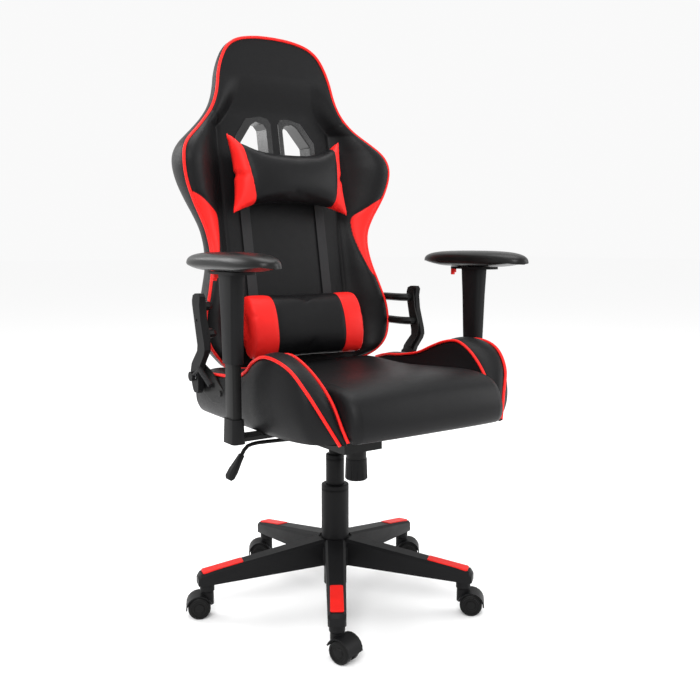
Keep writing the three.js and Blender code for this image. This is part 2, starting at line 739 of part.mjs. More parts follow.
// The tension knob, ribbed round its rim, with the bolt that runs up through the spring.
function tensionKnob() {
  const body = turned([
    [0, KNOB_BOTTOM],
    [KNOB_RADIUS - 3, KNOB_BOTTOM],
    [KNOB_RADIUS, KNOB_BOTTOM + 3],
    [KNOB_RADIUS - 1.5, KNOB_TOP],
    [0, KNOB_TOP],
  ], 2 * KNOB_RIBS);
  const bolt = disc(BOLT_RADIUS, KNOB_TOP - 1, HOUSING_TOP, 12);
  const grooves = [];
  for (let i = 0; i < KNOB_RIBS; i++) {
    const groove = disc(1.6, KNOB_BOTTOM - 1, KNOB_TOP - 5, 6).translate(KNOB_RADIUS, 0, 0);
    grooves.push(groove.rotateZ((2 * Math.PI * i) / KNOB_RIBS));
  }
  return cut(join(body, bolt), ...grooves);
}

piece("mechanism_housing", mechanismHousing(), blackSteel);
piece("seat_plate", seatPlate(), blackSteel);
piece("tilt_pin", tiltPin(), brightSteel);
const springBottom = KNOB_TOP + SPRING_WIRE_RADIUS + 1;
const springTop = HOUSING_TOP - SPRING_WIRE_RADIUS - 3;
const spring = coilSpring(SPRING_RADIUS, SPRING_WIRE_RADIUS, springBottom, springTop, SPRING_TURNS);
piece("tension_spring", spring.translate(0, KNOB_Y, 0), brightSteel);
piece("tension_knob", tensionKnob().translate(0, KNOB_Y, 0), nylon);

// ---------- height lever ----------

const blockOuterX = -housingHalf - GAP - BLOCK_WIDTH;

function leverBlock() {
  const low = [blockOuterX, LEVER_Y - BLOCK_HEIGHT / 2, LEVER_Z - BLOCK_HEIGHT / 2];
  const high = [-housingHalf - GAP, LEVER_Y + BLOCK_HEIGHT / 2, LEVER_Z + BLOCK_HEIGHT / 2];
  const bore = bar([-90, LEVER_Y, LEVER_Z], [-30, LEVER_Y, LEVER_Z], LEVER_RADIUS + 1.6);
  return cut(block(low, high), bore);
}

const bendZ = LEVER_Z + LEVER_RISE;

// The last stretch of the rod, which the grip sleeves.
function leverEnd() {
  return [
    [-LEVER_REACH - 10, LEVER_Y, bendZ - 4],
    [-LEVER_REACH - 20, LEVER_Y, bendZ - 16],
    [-LEVER_REACH - 26, LEVER_Y, bendZ - 30],
  ];
}

// The rod starts over the gas cylinder's button, runs out under the seat's right side, rises a little and
// bends down to its grip.
function leverRod() {
  const path = [
    [2, -4, LEVER_Z],
    [-8, -36, LEVER_Z],
    [-27, LEVER_Y + 4, LEVER_Z],
    [-36, LEVER_Y, LEVER_Z],
    [-50, LEVER_Y, LEVER_Z],
    [-90, LEVER_Y, LEVER_Z],
    [-160, LEVER_Y, LEVER_Z + 0.4 * LEVER_RISE],
    [-LEVER_REACH + 6, LEVER_Y, bendZ],
    ...leverEnd(),
  ];
  return bentBar(path, LEVER_RADIUS, 30, 8);
}

// A flat paddle, narrow at the rod and broad at the far end, hanging out and down.
function leverGrip() {
  const stations = [[0, 11, 11], [14, 14, 13], [34, 22, 15], [48, 24, 13], [GRIP_LENGTH, 16, 7]];
  const rings = stations.map(([down, width, thickness]) =>
    levelRing(0, 0, -down, thickness, width, Math.min(width, thickness) * 0.38),
  );
  const grip = loft(rings.reverse());
  grip.rotateY(THREE.MathUtils.degToRad(33));
  grip.translate(-LEVER_REACH - 21, LEVER_Y, bendZ - 18);
  const tip = [-LEVER_REACH - 27, LEVER_Y, bendZ - 32];
  return cut(grip, bentBar([...leverEnd().slice(0, 2), tip], LEVER_RADIUS + 1, 10, 8));
}

piece("lever_block", leverBlock(), nylon);
piece("height_lever", leverRod(), blackSteel);
piece("lever_grip", leverGrip(), nylon);

// ---------- seat ----------

const panTop = PAN_BOTTOM + PAN_THICKNESS;

function seatPan() {
  const depth = PAN_REAR - PAN_FRONT;
  const shape = roundedRectangle(2 * PAN_HALF_WIDTH, depth, 24);
  return raised(shape, PAN_BOTTOM, panTop).translate(0, (PAN_REAR + PAN_FRONT) / 2, 0);
}

// The cushion's side profile: a flat underside on the pan, a full front roll that laps the pan's front edge.
function seatCushion() {
  const floor = panTop + GAP;
  const lap = PAN_FRONT - 4;
  const shape = new THREE.Shape();
  shape.moveTo(CUSHION_REAR, floor);
  shape.lineTo(CUSHION_REAR, CUSHION_TOP - 24);
  shape.quadraticCurveTo(CUSHION_REAR - 2, CUSHION_TOP - 10, CUSHION_REAR - 22, CUSHION_TOP - 8);
  shape.quadraticCurveTo(-40, CUSHION_TOP + 2, CUSHION_FRONT + 95, CUSHION_TOP);
  shape.quadraticCurveTo(CUSHION_FRONT + 12, CUSHION_TOP - 3, CUSHION_FRONT, CUSHION_TOP - 52);
  shape.quadraticCurveTo(CUSHION_FRONT - 1, PAN_BOTTOM + 14, CUSHION_FRONT + 22, PAN_BOTTOM);
  shape.lineTo(lap, PAN_BOTTOM);
  shape.lineTo(lap, floor);
  return carried(shape, -CUSHION_HALF_WIDTH, CUSHION_HALF_WIDTH, 8);
}

// Heights of the bolster's ridge and the half-width of the seat, both along its depth.
const ridge = [
  [-308, PAN_BOTTOM + 22], [-296, 468], [-272, 521], [-241, 556], [-200, BOLSTER_TOP - 3],
  [BOLSTER_PEAK_Y, BOLSTER_TOP], [-104, 553], [-75, 535], [-30, 523], [60, 518], [CUSHION_REAR, 506],
];
const outerEdge = [
  [-308, BOLSTER_OUTER - 56], [-272, BOLSTER_OUTER - 22], [-241, BOLSTER_OUTER - 9],
  [BOLSTER_PEAK_Y, BOLSTER_OUTER], [CUSHION_REAR, BOLSTER_OUTER],
];
const innerEdge = [
  [-308, CUSHION_HALF_WIDTH + 3], [-240, CUSHION_HALF_WIDTH + 14], [BOLSTER_PEAK_Y, CUSHION_HALF_WIDTH + 22],
  [CUSHION_REAR, CUSHION_HALF_WIDTH + 22],
];

function seatBolster() {
  const stations = [
    -308, -296, -284, -272, -258, -241, -220, -185, -150, -125, -100, -75, -40, 20, 80, CUSHION_REAR,
  ];
  const inner = CUSHION_HALF_WIDTH + GAP;
  const rings = stations.map((y) => {
    const top = along(ridge, y);
    const outer = along(outerEdge, y);
    const crest = Math.min(along(innerEdge, y), outer - 12);
    const bottom = PAN_BOTTOM;
    const low = bottom + 0.25 * (top - bottom);
    return [
      [inner, y, bottom],
      [inner, y, bottom + 0.75 * (top - bottom)],
      [crest, y, top - 2],
      [(crest + outer) / 2, y, top + 2],
      [outer - 1, y, top - 4],
      [outer, y, low + 0.5 * (top - low)],
      [outer - 2, y, low],
      [outer - 12, y, bottom],
    ];
  });
  const pocketCorner = [PAN_HALF_WIDTH + 1, CUSHION_REAR + 5, panTop + GAP];
  const panPocket = block([0, PAN_FRONT - 4, PAN_BOTTOM - 5], pocketCorner);
  return cut(loft(rings), panPocket);
}

piece("seat_pan", seatPan(), blackSteel);
piece("seat_cushion", seatCushion(), blackLeather);
for (const name of ["left", "right"]) {
  piece("seat_bolster_" + name, seatBolster(), blackLeather, side(name));
}

// ---------- armrests ----------

const padZ = SLEEVE_CAP_Z + GAP;
const postBottom = FOOT_BOTTOM + 6;

// A bent steel bracket: a plate screwed under the pan, a bar out to the side and the armrest's post.
function armBracket() {
  const top = PAN_BOTTOM - GAP;
  const bottom = top - BRACKET_PLATE_THICKNESS;
  const halfBar = BRACKET_BAR_DEPTH / 2;
  const halfPlate = BRACKET_PLATE_DEPTH / 2;
  const plateOuter = BRACKET_INNER_X + 90;
  const plate = block([BRACKET_INNER_X, ARM_Y - halfPlate, bottom], [plateOuter, ARM_Y + halfPlate, top]);
  const arm = block([plateOuter - 5, ARM_Y - halfBar, bottom - 3], [ARM_X, ARM_Y + halfBar, top - 3]);
  const post = loft([
    levelRing(ARM_X, ARM_Y, postBottom, POST_WIDTH, POST_DEPTH, 5),
    levelRing(ARM_X, ARM_Y, POST_TOP, POST_WIDTH, POST_DEPTH, 5),
  ]);
  return join(plate, arm, post);
}

// The collar hides the bend. It is split round the bar that runs in under the seat.
function footCollar() {
  const outer = loft([
    levelRing(ARM_X, ARM_Y, FOOT_BOTTOM, FOOT_WIDTH + 1, FOOT_DEPTH + 1, 8),
    levelRing(ARM_X, ARM_Y, FOOT_TOP, FOOT_WIDTH - 2, FOOT_DEPTH - 3, 7),
  ]);
  const gap = 2 * GAP;
  const postHole = loft([
    levelRing(ARM_X, ARM_Y, postBottom - GAP, POST_WIDTH + gap, POST_DEPTH + gap, 5),
    levelRing(ARM_X, ARM_Y, FOOT_TOP + 5, POST_WIDTH + gap, POST_DEPTH + gap, 5),
  ]);
  const halfBar = BRACKET_BAR_DEPTH / 2 + GAP;
  const top = PAN_BOTTOM - 3;
  const slotBottom = top - GAP - BRACKET_PLATE_THICKNESS - GAP;
  const slotEnd = [ARM_X + POST_WIDTH / 2, ARM_Y + halfBar, top + GAP];
  const slot = block([ARM_X - 30, ARM_Y - halfBar, slotBottom], slotEnd);
  return cut(outer, postHole, slot);
}

// The sleeve slides on the post and carries the pad on its flared top.
function armSleeve() {
  const body = loft([
    levelRing(ARM_X, ARM_Y, SLEEVE_BASE_Z, SLEEVE_BASE_WIDTH, SLEEVE_BASE_DEPTH, 8),
    levelRing(ARM_X, ARM_Y, SLEEVE_CAP_Z - 40, SLEEVE_CAP_WIDTH - 2, SLEEVE_CAP_DEPTH - 5, 9),
    levelRing(ARM_X, ARM_Y, SLEEVE_CAP_Z, SLEEVE_CAP_WIDTH, SLEEVE_CAP_DEPTH, 9),
  ]);
  const flange = loft([
    levelRing(ARM_X, ARM_Y, SLEEVE_CAP_Z - 5, 46, 120, 14),
    levelRing(ARM_X, ARM_Y, SLEEVE_CAP_Z, 46, 120, 14),
  ]);
  const room = 0.8;
  const bore = loft([
    levelRing(ARM_X, ARM_Y, SLEEVE_BASE_Z - 5, POST_WIDTH + room, POST_DEPTH + room, 5),
    levelRing(ARM_X, ARM_Y, SLEEVE_CAP_Z - SLEEVE_ROOF, POST_WIDTH + room, POST_DEPTH + room, 5),
  ]);
  return cut(join(body, flange), bore);
}

// A long pad with round ends, crowned on top and hollowed towards its ends underneath.
function armPad() {
  const steps = 12;
  const rings = [];
  const levels = [
    [0, 0.78], [0.16, 0.92], [0.4, 1], [0.62, 1], [0.84, 0.93], [0.95, 0.8], [1, 0.6],
  ];
  for (const [height, spread] of levels) {
    const half = (PAD_WIDTH / 2) * spread;
    const reach = PAD_LENGTH / 2 - (PAD_WIDTH / 2) * (1 - spread) - half;
    const ring = [];
    for (let i = 0; i < 2 * steps; i++) {
      const angle = (Math.PI * (i + 0.5)) / steps;
      const y = ARM_Y + 2 + half * Math.sin(angle) + Math.sign(Math.sin(angle)) * reach;
      const droop = 5 * ((y - ARM_Y) / (PAD_LENGTH / 2)) ** 2;
      const z = padZ + height * PAD_THICKNESS - (height > 0.5 ? droop : 0);
      ring.push([ARM_X + half * Math.cos(angle), y, z]);
    }
    rings.push(ring);
  }
  return loft(rings);
}

// The height trigger, hanging behind the sleeve under the rear of the pad.
const triggerFront = ARM_Y + 60 + 2;

function armTrigger() {
  const half = TRIGGER_WIDTH / 2;
  const top = padZ - 5.6;
  const low = [ARM_X - half, triggerFront, top - TRIGGER_HEIGHT];
  const high = [ARM_X + half, triggerFront + TRIGGER_LENGTH, top];
  return join(block(low, high), block([low[0], high[1] - 5, low[2] - 5], [high[0], high[1], low[2] + 1]));
}

for (const name of ["left", "right"]) {
  const group = side(name);
  piece("arm_bracket_" + name, armBracket(), blackSteel, group);
  piece("arm_foot_" + name, footCollar(), nylon, group);
  piece("arm_sleeve_" + name, armSleeve(), nylon, group);
  piece("arm_pad_" + name, armPad(), softFoam, group);
  piece("arm_trigger_" + name, armTrigger(), redPlastic, group);
}

// ---------- back ----------

const leanTan = Math.tan(THREE.MathUtils.degToRad(BACK_LEAN));

function panelY(z) {
  return PANEL_Y + (z - PANEL_Z) * leanTan;
}

// Half-width of the back at each height, and how far its piped edge stands in front of the centre panel.
const halfWidth = [
  [506, 150], [512, 182], [528, 204], [550, 224], [580, 237], [606, 238], [640, 231], [680, 219], [730, 209],
  [780, 206], [820, 216], [870, 241], [920, 261], [955, 266], [985, 259], [1012, 236], [1045, 200],
  [1080, 169],
  [1110, 152], [1150, 143], [1190, 133], [1215, 121], [1232, 100], [1243, 72], [BACK_TOP, 30],
];
const wingReach = [
  [506, -6], [516, 8], [530, 26], [548, 38], [606, 42], [680, 36], [740, 24],
  [800, 27], [850, 40], [900, 59], [955, 71], [1000, 64],
  [1045, 40], [1090, 31], [1150, 32], [BACK_TOP, 30],
];
const wingWidth = 84;

// One level slice through the cushion: deep wings at the edges, a flat panel between and a rounded rear.
const trimTop = OPENING_BOTTOM + OPENING_HEIGHT + TRIM_WIDTH;

function backSlice(z) {
  const w = along(halfWidth, z);
  const front = panelY(z) - along(wingReach, z);
  const rear = panelY(z) + BACK_DEPTH;
  const headFill = THREE.MathUtils.smoothstep(z, trimTop, trimTop + 80);
  const edge = 1 - THREE.MathUtils.smoothstep(z, BACK_TOP - 60, BACK_TOP);
  const panel = THREE.MathUtils.lerp(panelY(z), front - 6 * edge, headFill);
  const rearEdge = THREE.MathUtils.lerp(front + 24, rear - 22, edge);
  const rearMiddle = THREE.MathUtils.lerp(front + 30, rear, edge);
  const inner = Math.max(w - wingWidth, w * 0.35);
  const half = [
    [0, panel],
    [inner * 0.8, panel],
    [inner + (w - inner) * 0.3, THREE.MathUtils.lerp(panel, front, 0.45)],
    [w * 0.86, front - 2],
    [w, front],
    [w + 1, front + (rearEdge - front) * 0.3],
    [w * 0.97, rearEdge - 8],
    [w * 0.82, rearEdge + 8],
    [w * 0.45, rearMiddle - 3],
    [0, rearMiddle],
  ];
  const mirror = half.slice(1, -1).reverse().map(([x, y]) => [-x, y]);
  return [...half, ...mirror].map(([x, y]) => [x, y, z]);
}

function openingShape(margin) {
  const inner = OPENING_INNER_X - margin;
  const outer = OPENING_OUTER_X + margin;
  const bottom = OPENING_BOTTOM - margin;
  const top = OPENING_BOTTOM + OPENING_HEIGHT + margin;
  return polygon([
    [inner, bottom + 10],
    [inner + 10, bottom],
    [outer - 12, bottom],
    [outer, bottom + 12],
    [outer - 1, top - 50],
    [outer - 32, top - 8],
    [inner + 26, top],
    [inner + 8, top - 4],
    [inner, top - 15],
  ]);
}

// A shape drawn in X and Z, carried through the back: from and to count from the panel's front surface.
function throughBack(shape, from, to) {
  const geometry = raised(shape, -to, -from).rotateX(Math.PI / 2);
  const lean = new THREE.Matrix4().makeShear(0, 0, 0, 0, 0, leanTan);
  return geometry.applyMatrix4(lean).translate(0, panelY(0), 0);
}

// Turns each triangle round.
function flipped(geometry) {
  const array = geometry.attributes.position.array;
  for (let i = 0; i < array.length; i += 9) {
    for (let k = 0; k < 3; k++) {
      const held = array[i + k];
      array[i + k] = array[i + 3 + k];
      array[i + 3 + k] = held;
    }
  }
  return geometry;
}

const frameTop = BACK_TOP - 38;

// The frame's hoop, from one lower corner round the head to the other.
function hoopPath(footZ) {
  const half = [
    [200, 2, footZ], [204, 2, 640], [186, 14, 770], [208, 8, 900], [204, 10, 960], [150, 22, 1050],
    [112, 14, 1110], [98, 10, 1160], [78, 10, frameTop - 18], [40, 10, frameTop],
  ];
  const left = half.map(([x, in_, z]) => [x, panelY(z) + in_, z]);
  const right = left.slice().reverse().map(([x, y, z]) => [-x, y, z]);
  return [...left, ...right];
}

const hoopSteps = 44;
const sidePlateX = LOWER_PLATE_X + STEEL_THICKNESS + GAP;
// The height of each side arm, its place behind the centre panel's surface and its end on the arm plate.
const sideArms = [[PIVOT_Z + 88, 12, PIVOT_Y - 30], [PIVOT_Z + 143, 6, PIVOT_Y - 14]];

// The frame's tubes, swollen by the slack: none for the frame itself, the clearance for the channel round it.
function frameTubes(slack) {
  const radius = FRAME_TUBE_RADIUS + slack;
  const railY = panelY(RAIL_Z) + 24;
  const railEnd = 200 + slack;
  const hoop = bentBar(hoopPath(FRAME_FOOT_Z - slack), radius, hoopSteps, 8);
  const rail = bar([-railEnd, railY, RAIL_Z], [railEnd, railY, RAIL_Z], radius, 8);
  const corners = [-200, 200].map((x) => {
    return bar([x, railY + 2 + slack, RAIL_Z], [x, railY - 24, RAIL_Z], radius, 8);
  });
  const arms = sideArms.map(([z, behind, endY]) => {
    const y = panelY(z) + behind;
    const path = [
      [198 - slack, y, z],
      [228, y - 16, z],
      [246, y - 44, z],
      [249, endY + 20, z],
      [258, endY + 2, z],
      [sidePlateX + 1, endY, z],
    ];
    return [path, path.map(([x, along, up]) => [-x, along, up])].map((points) => {
      return bentBar(points, radius - 2, 14, 8);
    });
  });
  return join(hoop, rail, ...corners, ...arms.flat());
}

// A shape drawn in Y and Z from offsets about the pivot.
function aboutPivot(offsets) {
  return polygon(offsets.map(([y, z]) => [PIVOT_Y + y, PIVOT_Z + z]));
}

// A bar along X on the back's pivot.
function aroundPivot(from, to, radius) {
  return bar([from, PIVOT_Y, PIVOT_Z], [to, PIVOT_Y, PIVOT_Z], radius);
}

// The arm plate on each side: a round eye on the pivot and a strip up beside the back to the side arms.
function armPlate() {
  const top = RECLINER_HEIGHT;
  const shape = aboutPivot([
    [-12, -26],
    [4, -26],
    [12, -7],
    [12, 16],
    [-2, 34],
    [-20, 54],
    [-20, 66],
    [-10, 106],
    [0, top - 20],
    [-12, top - 6],
    [-26, top - 8],
    [-32, 118],
    [-44, 88],
    [-46, 66],
    [-44, 54],
    [-22, 28],
    [-14, 8],
  ]);
  const plate = carried(shape, sidePlateX, sidePlateX + STEEL_THICKNESS);
  const eye = aroundPivot(sidePlateX - 5, sidePlateX + 10, PIVOT_RADIUS + GAP);
  return cut(plate, eye);
}

function mirrored(geometry) {
  const loose = geometry.index ? geometry.toNonIndexed() : geometry.clone();
  return flipped(loose.scale(-1, 1, 1));
}

function backFrame() {
  const plate = armPlate();
  return join(frameTubes(0), plate, mirrored(plate));
}

function backCushion() {
  const heights = [506, 510, 518, 530, 550, 578, 606, 640, 680, 720, 760, 800, 840, 880, 915, 940, 960, 980,
    1000, 1020, 1042, 1065, 1090, 1120, 1155, 1190, 1213, 1229, 1240, 1246, BACK_TOP];
  const body = loft(heights.map(backSlice));
  const margin = TRIM_WIDTH + 2 * GAP;
  const right = throughBack(openingShape(margin), -60, BACK_DEPTH + 60);
  const channel = frameTubes(FRAME_CLEARANCE);
  return cut(body, right, mirrored(right), channel);
}

// The plastic trim that lines one opening, standing a little proud of the front.
function openingTrim() {
  const outer = throughBack(openingShape(TRIM_WIDTH), -TRIM_PROUD, TRIM_DEPTH);
  return cut(outer, throughBack(openingShape(0), -TRIM_PROUD - 5, TRIM_DEPTH + 5));
}

piece("back_frame", backFrame(), blackSteel);
piece("back_cushion", backCushion(), blackLeather);
for (const name of ["left", "right"]) {
  piece("opening_trim_" + name, openingTrim(), nylon, side(name));
}

// ---------- recliner ----------

const lowerPlateOuter = LOWER_PLATE_X + STEEL_THICKNESS;
const coverInner = sidePlateX + STEEL_THICKNESS + GAP;
const coverOuter = coverInner + COVER_PLATE_THICKNESS;
const spiralX = coverInner + SPIRAL_WIRE_RADIUS + 2;
const pocketDepth = 2 * SPIRAL_WIRE_RADIUS + 4;

// The plate bolted to the seat's side, from the pivot forward and down.
function reclinePlate() {
  const shape = aboutPivot([
    [14, -8],
    [12, 14],
    [-12, 24],
    [-40, 14],
    [-96, -18],
    [-104, -44],
    [-50, -50],
    [4, -30],
  ]);
  const plate = carried(shape, LOWER_PLATE_X, lowerPlateOuter);
  const eye = aroundPivot(LOWER_PLATE_X - 5, LOWER_PLATE_X + 9, PIVOT_RADIUS + GAP);
  const bolts = [[-50, -14], [-84, -26]].map(([forward, up]) => {
    const y = PIVOT_Y + forward;
    const z = PIVOT_Z + up;
    return bar([lowerPlateOuter - 1, y, z], [lowerPlateOuter + 3, y, z], 6, 12);
  });
  return join(cut(plate, eye), ...bolts);
}

// The cover's outline: a slim upper limb, a knee and a round lobe over the pivot.
function reclineCover() {
  const top = RECLINER_HEIGHT;
  const shape = aboutPivot([
    [-11, top],
    [0, top - 4],
    [4, top - 14],
    [4, top - 22],
    [-7, 106],
    [-17, 66],
    [-15, 54],
    [2, 37],
    [13, 25],
    [18, 10],
    [16, -9],
    [8, -29],
    [2, -34],
    [-12, -34],
    [-17, -28],
    [-18, 6],
    [-27, 24],
    [-46, 47],
    [-51, 58],
    [-49, 72],
    [-43, 90],
    [-34, 117],
    [-30, top - 22],
    [-33, top - 6],
    [-28, top],
  ]);
  const body = carried(shape, coverInner, coverOuter, 3);
  const eye = aroundPivot(coverInner - 5, coverOuter + 5, PIVOT_RADIUS + 2);
  const boltY = PIVOT_Y - 17;
  const boltZ = PIVOT_Z + 116;
  const boltHole = bar([coverInner - 5, boltY, boltZ], [coverOuter + 5, boltY, boltZ], 3, 10);
  const pocket = aroundPivot(coverInner - 1, coverInner + pocketDepth, SPIRAL_RADIUS + 2);
  return cut(body, eye, boltHole, pocket);
}

function reclinePin() {
  const inner = LOWER_PLATE_X - 2.5;
  const shaft = aroundPivot(inner, coverOuter - 1, PIVOT_RADIUS);
  return join(shaft, aroundPivot(inner, LOWER_PLATE_X - GAP, PIVOT_RADIUS + 2));
}

// The recline lever on the sitter's right: a steel strip on the pivot with a moulded grip at its end.
function reclineLever() {
  const x = coverOuter + GRIP_RADIUS + 1;
  const bendY = PIVOT_Y - RECLINE_LEVER_REACH * 0.42;
  const strip = bar([x, PIVOT_Y, PIVOT_Z], [x, bendY - 3, PIVOT_Z + 20], 3, 8);
  const eye = aroundPivot(x - 4, x + 3, 10);
  const tip = [x, PIVOT_Y - RECLINE_LEVER_REACH, PIVOT_Z - 8];
  const grip = bar([x, bendY, PIVOT_Z + 21], tip, GRIP_RADIUS, 10);
  return join(eye, strip, grip);
}

// The spiral that helps the back upright, wound in a pocket round the right pivot.
function returnSpring() {
  const turns = 2;
  const steps = 12 * turns;
  const points = [];
  for (let i = 0; i <= steps; i++) {
    const angle = (2 * Math.PI * turns * i) / steps;
    const radius = PIVOT_RADIUS + 3 + (SPIRAL_RADIUS - PIVOT_RADIUS - 3) * (i / steps);
    points.push([spiralX, PIVOT_Y + radius * Math.cos(angle), PIVOT_Z + radius * Math.sin(angle)]);
  }
  return bentBar(points, SPIRAL_WIRE_RADIUS, 2 * steps, 6);
}

for (const name of ["left", "right"]) {
  const group = side(name);
  piece("recline_plate_" + name, reclinePlate(), blackSteel, group);
  piece("recline_cover_" + name, reclineCover(), nylon, group);
  piece("recline_pin_" + name, reclinePin(), brightSteel, group);
}
piece("recline_lever", reclineLever(), nylon, side("right"));
piece("return_spring", returnSpring(), brightSteel, side("right"));

// ---------- pillows ----------

// A bow-tie pillow: four corner points drawn out thin, a full middle.
function headPillow() {
  const steps = 12;
  const count = 16;
  const rings = [];
  for (let i = 0; i <= steps; i++) {
    const u = (2 * i) / steps - 1;
    const x = HEAD_PILLOW_HALF_WIDTH * u;
    const height = THREE.MathUtils.lerp(HEAD_PILLOW_WAIST_HEIGHT, HEAD_PILLOW_CORNER_HEIGHT, u ** 4) / 2;
    const depth = (HEAD_PILLOW_DEPTH / 2) * Math.max(0.14, 1 - u ** 4);
    const ring = [];
    for (let k = 0; k < count; k++) {
      const angle = (2 * Math.PI * k) / count;
      const z = HEAD_PILLOW_Z + height * Math.sin(angle);
      const rise = height * Math.sin(angle);
      const middle = panelY(HEAD_PILLOW_Z) - PILLOW_CLEARANCE - HEAD_PILLOW_DEPTH / 2 + rise * leanTan;
      ring.push([x, middle + depth * Math.cos(angle), z]);
    }
    rings.push(ring);
  }
  return loft(rings);
}

// A bolster with rounded ends across the small of the back.
function lumbarPillow() {
  const half = LUMBAR_PILLOW_LENGTH / 2;
  const count = 20;
  const stations = [[-1, 0.72], [-0.97, 0.88], [-0.9, 0.97], [0, 1], [0.9, 0.97], [0.97, 0.88], [1, 0.72]];
  const lean = leanTan;
  const middleY = panelY(LUMBAR_PILLOW_Z) - PILLOW_CLEARANCE - LUMBAR_PILLOW_DEPTH / 2 - 3;
  const rings = stations.map(([u, scale]) => {
    const ring = [];
    for (let k = 0; k < count; k++) {
      const angle = (2 * Math.PI * k) / count;
      const z = (LUMBAR_PILLOW_HEIGHT / 2) * scale * Math.sin(angle);
      const y = (LUMBAR_PILLOW_DEPTH / 2) * scale * Math.cos(angle);
      ring.push([half * u, middleY + y + z * lean, LUMBAR_PILLOW_Z + z]);
    }
    return ring;
  });
  return loft(rings);
}

piece("head_pillow", headPillow(), redLeather);
piece("lumbar_pillow", lumbarPillow(), redLeather);

export default chair;
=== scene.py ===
"""A racing-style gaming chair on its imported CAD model: padding, covers, piping, straps and finishes."""

import json
import logging
import math
from dataclasses import dataclass
from enum import Enum
from typing import Callable, Optional, Sequence

import bmesh
import bpy
import numpy as np
from mathutils import Matrix, Vector

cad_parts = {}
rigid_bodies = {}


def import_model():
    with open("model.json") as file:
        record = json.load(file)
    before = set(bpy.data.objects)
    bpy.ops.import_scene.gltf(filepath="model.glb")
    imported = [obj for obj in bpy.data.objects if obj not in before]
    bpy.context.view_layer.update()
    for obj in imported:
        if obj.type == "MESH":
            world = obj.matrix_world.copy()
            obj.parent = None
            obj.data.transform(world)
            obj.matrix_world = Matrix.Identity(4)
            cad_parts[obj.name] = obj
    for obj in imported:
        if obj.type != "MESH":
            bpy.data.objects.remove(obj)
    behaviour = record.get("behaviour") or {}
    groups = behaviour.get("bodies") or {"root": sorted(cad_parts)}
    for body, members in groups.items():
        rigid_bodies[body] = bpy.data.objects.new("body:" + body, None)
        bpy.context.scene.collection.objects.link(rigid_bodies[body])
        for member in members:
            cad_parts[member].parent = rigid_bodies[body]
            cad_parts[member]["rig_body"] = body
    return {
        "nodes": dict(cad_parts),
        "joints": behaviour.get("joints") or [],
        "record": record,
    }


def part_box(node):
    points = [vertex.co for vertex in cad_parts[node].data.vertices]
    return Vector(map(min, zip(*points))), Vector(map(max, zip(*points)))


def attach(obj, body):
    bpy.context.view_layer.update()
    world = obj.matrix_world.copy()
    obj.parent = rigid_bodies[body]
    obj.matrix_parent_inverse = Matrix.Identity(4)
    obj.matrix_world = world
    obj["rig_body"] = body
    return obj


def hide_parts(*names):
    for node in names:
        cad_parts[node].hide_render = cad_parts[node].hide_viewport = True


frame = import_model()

log = logging.getLogger("gaming_chair")

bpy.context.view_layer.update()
MM = 0.001
COLUMN_Y = sum(corner.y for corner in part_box("lift_column")) / 2

Place = Callable[[float, float], Vector]
Pair = tuple[float, float]
Mesh = bmesh.types.BMesh
Layer = bmesh.types.BMLayerItem


class Side(Enum):
    """The sitter's left is +X."""

    LEFT = 1
    RIGHT = -1

    @property
    def word(self) -> str:
        """The side's name as the CAD nodes spell it."""
        return self.name.lower()


class Slot(Enum):
    """The record's material slots."""

    NYLON = "nylon"
    RED_PLASTIC = "red_plastic"
    BLACK_STEEL = "black_steel"
    BRIGHT_STEEL = "bright_steel"
    BLACK_LEATHER = "black_leather"
    RED_LEATHER = "red_leather"
    BLACK_FOAM = "black_foam"


# ---------- numbers and curves ----------


def smooth_value(points: Sequence[Pair], x: float) -> float:
    """The value at x on a smooth line through points.

    Args:
        points: Pairs of place and value, by rising place.
        x: The place asked for.

    Returns:
        The value, held flat past either end.
    """
    if x <= points[0][0]:
        return points[0][1]
    if x >= points[-1][0]:
        return points[-1][1]
    i = next(k for k in range(1, len(points)) if points[k][0] > x) - 1
    (x0, y0), (x1, y1) = points[i], points[i + 1]

    def slope(j: int, k: int) -> float:
        """The slope from point j to point k."""
        return (points[k][1] - points[j][1]) / (points[k][0] - points[j][0])

    span = x1 - x0
    t = (x - x0) / span
    m0 = slope(max(i - 1, 0), i + 1) * span
    m1 = slope(i, min(i + 2, len(points) - 1)) * span
    return (
        (2 * t**3 - 3 * t**2 + 1) * y0
        + (t**3 - 2 * t**2 + t) * m0
        + (3 * t**2 - 2 * t**3) * y1
        + (t**3 - t**2) * m1
    )


def smooth_step(low: float, high: float, x: float) -> float:
    """A soft step from 0 at low to 1 at high."""
    t = min(max((x - low) / (high - low), 0.0), 1.0)
    return t * t * (3 - 2 * t)


def mix(a: float, b: float, t: float) -> float:
    """The value a share t of the way from a to b."""
    return a + (b - a) * t


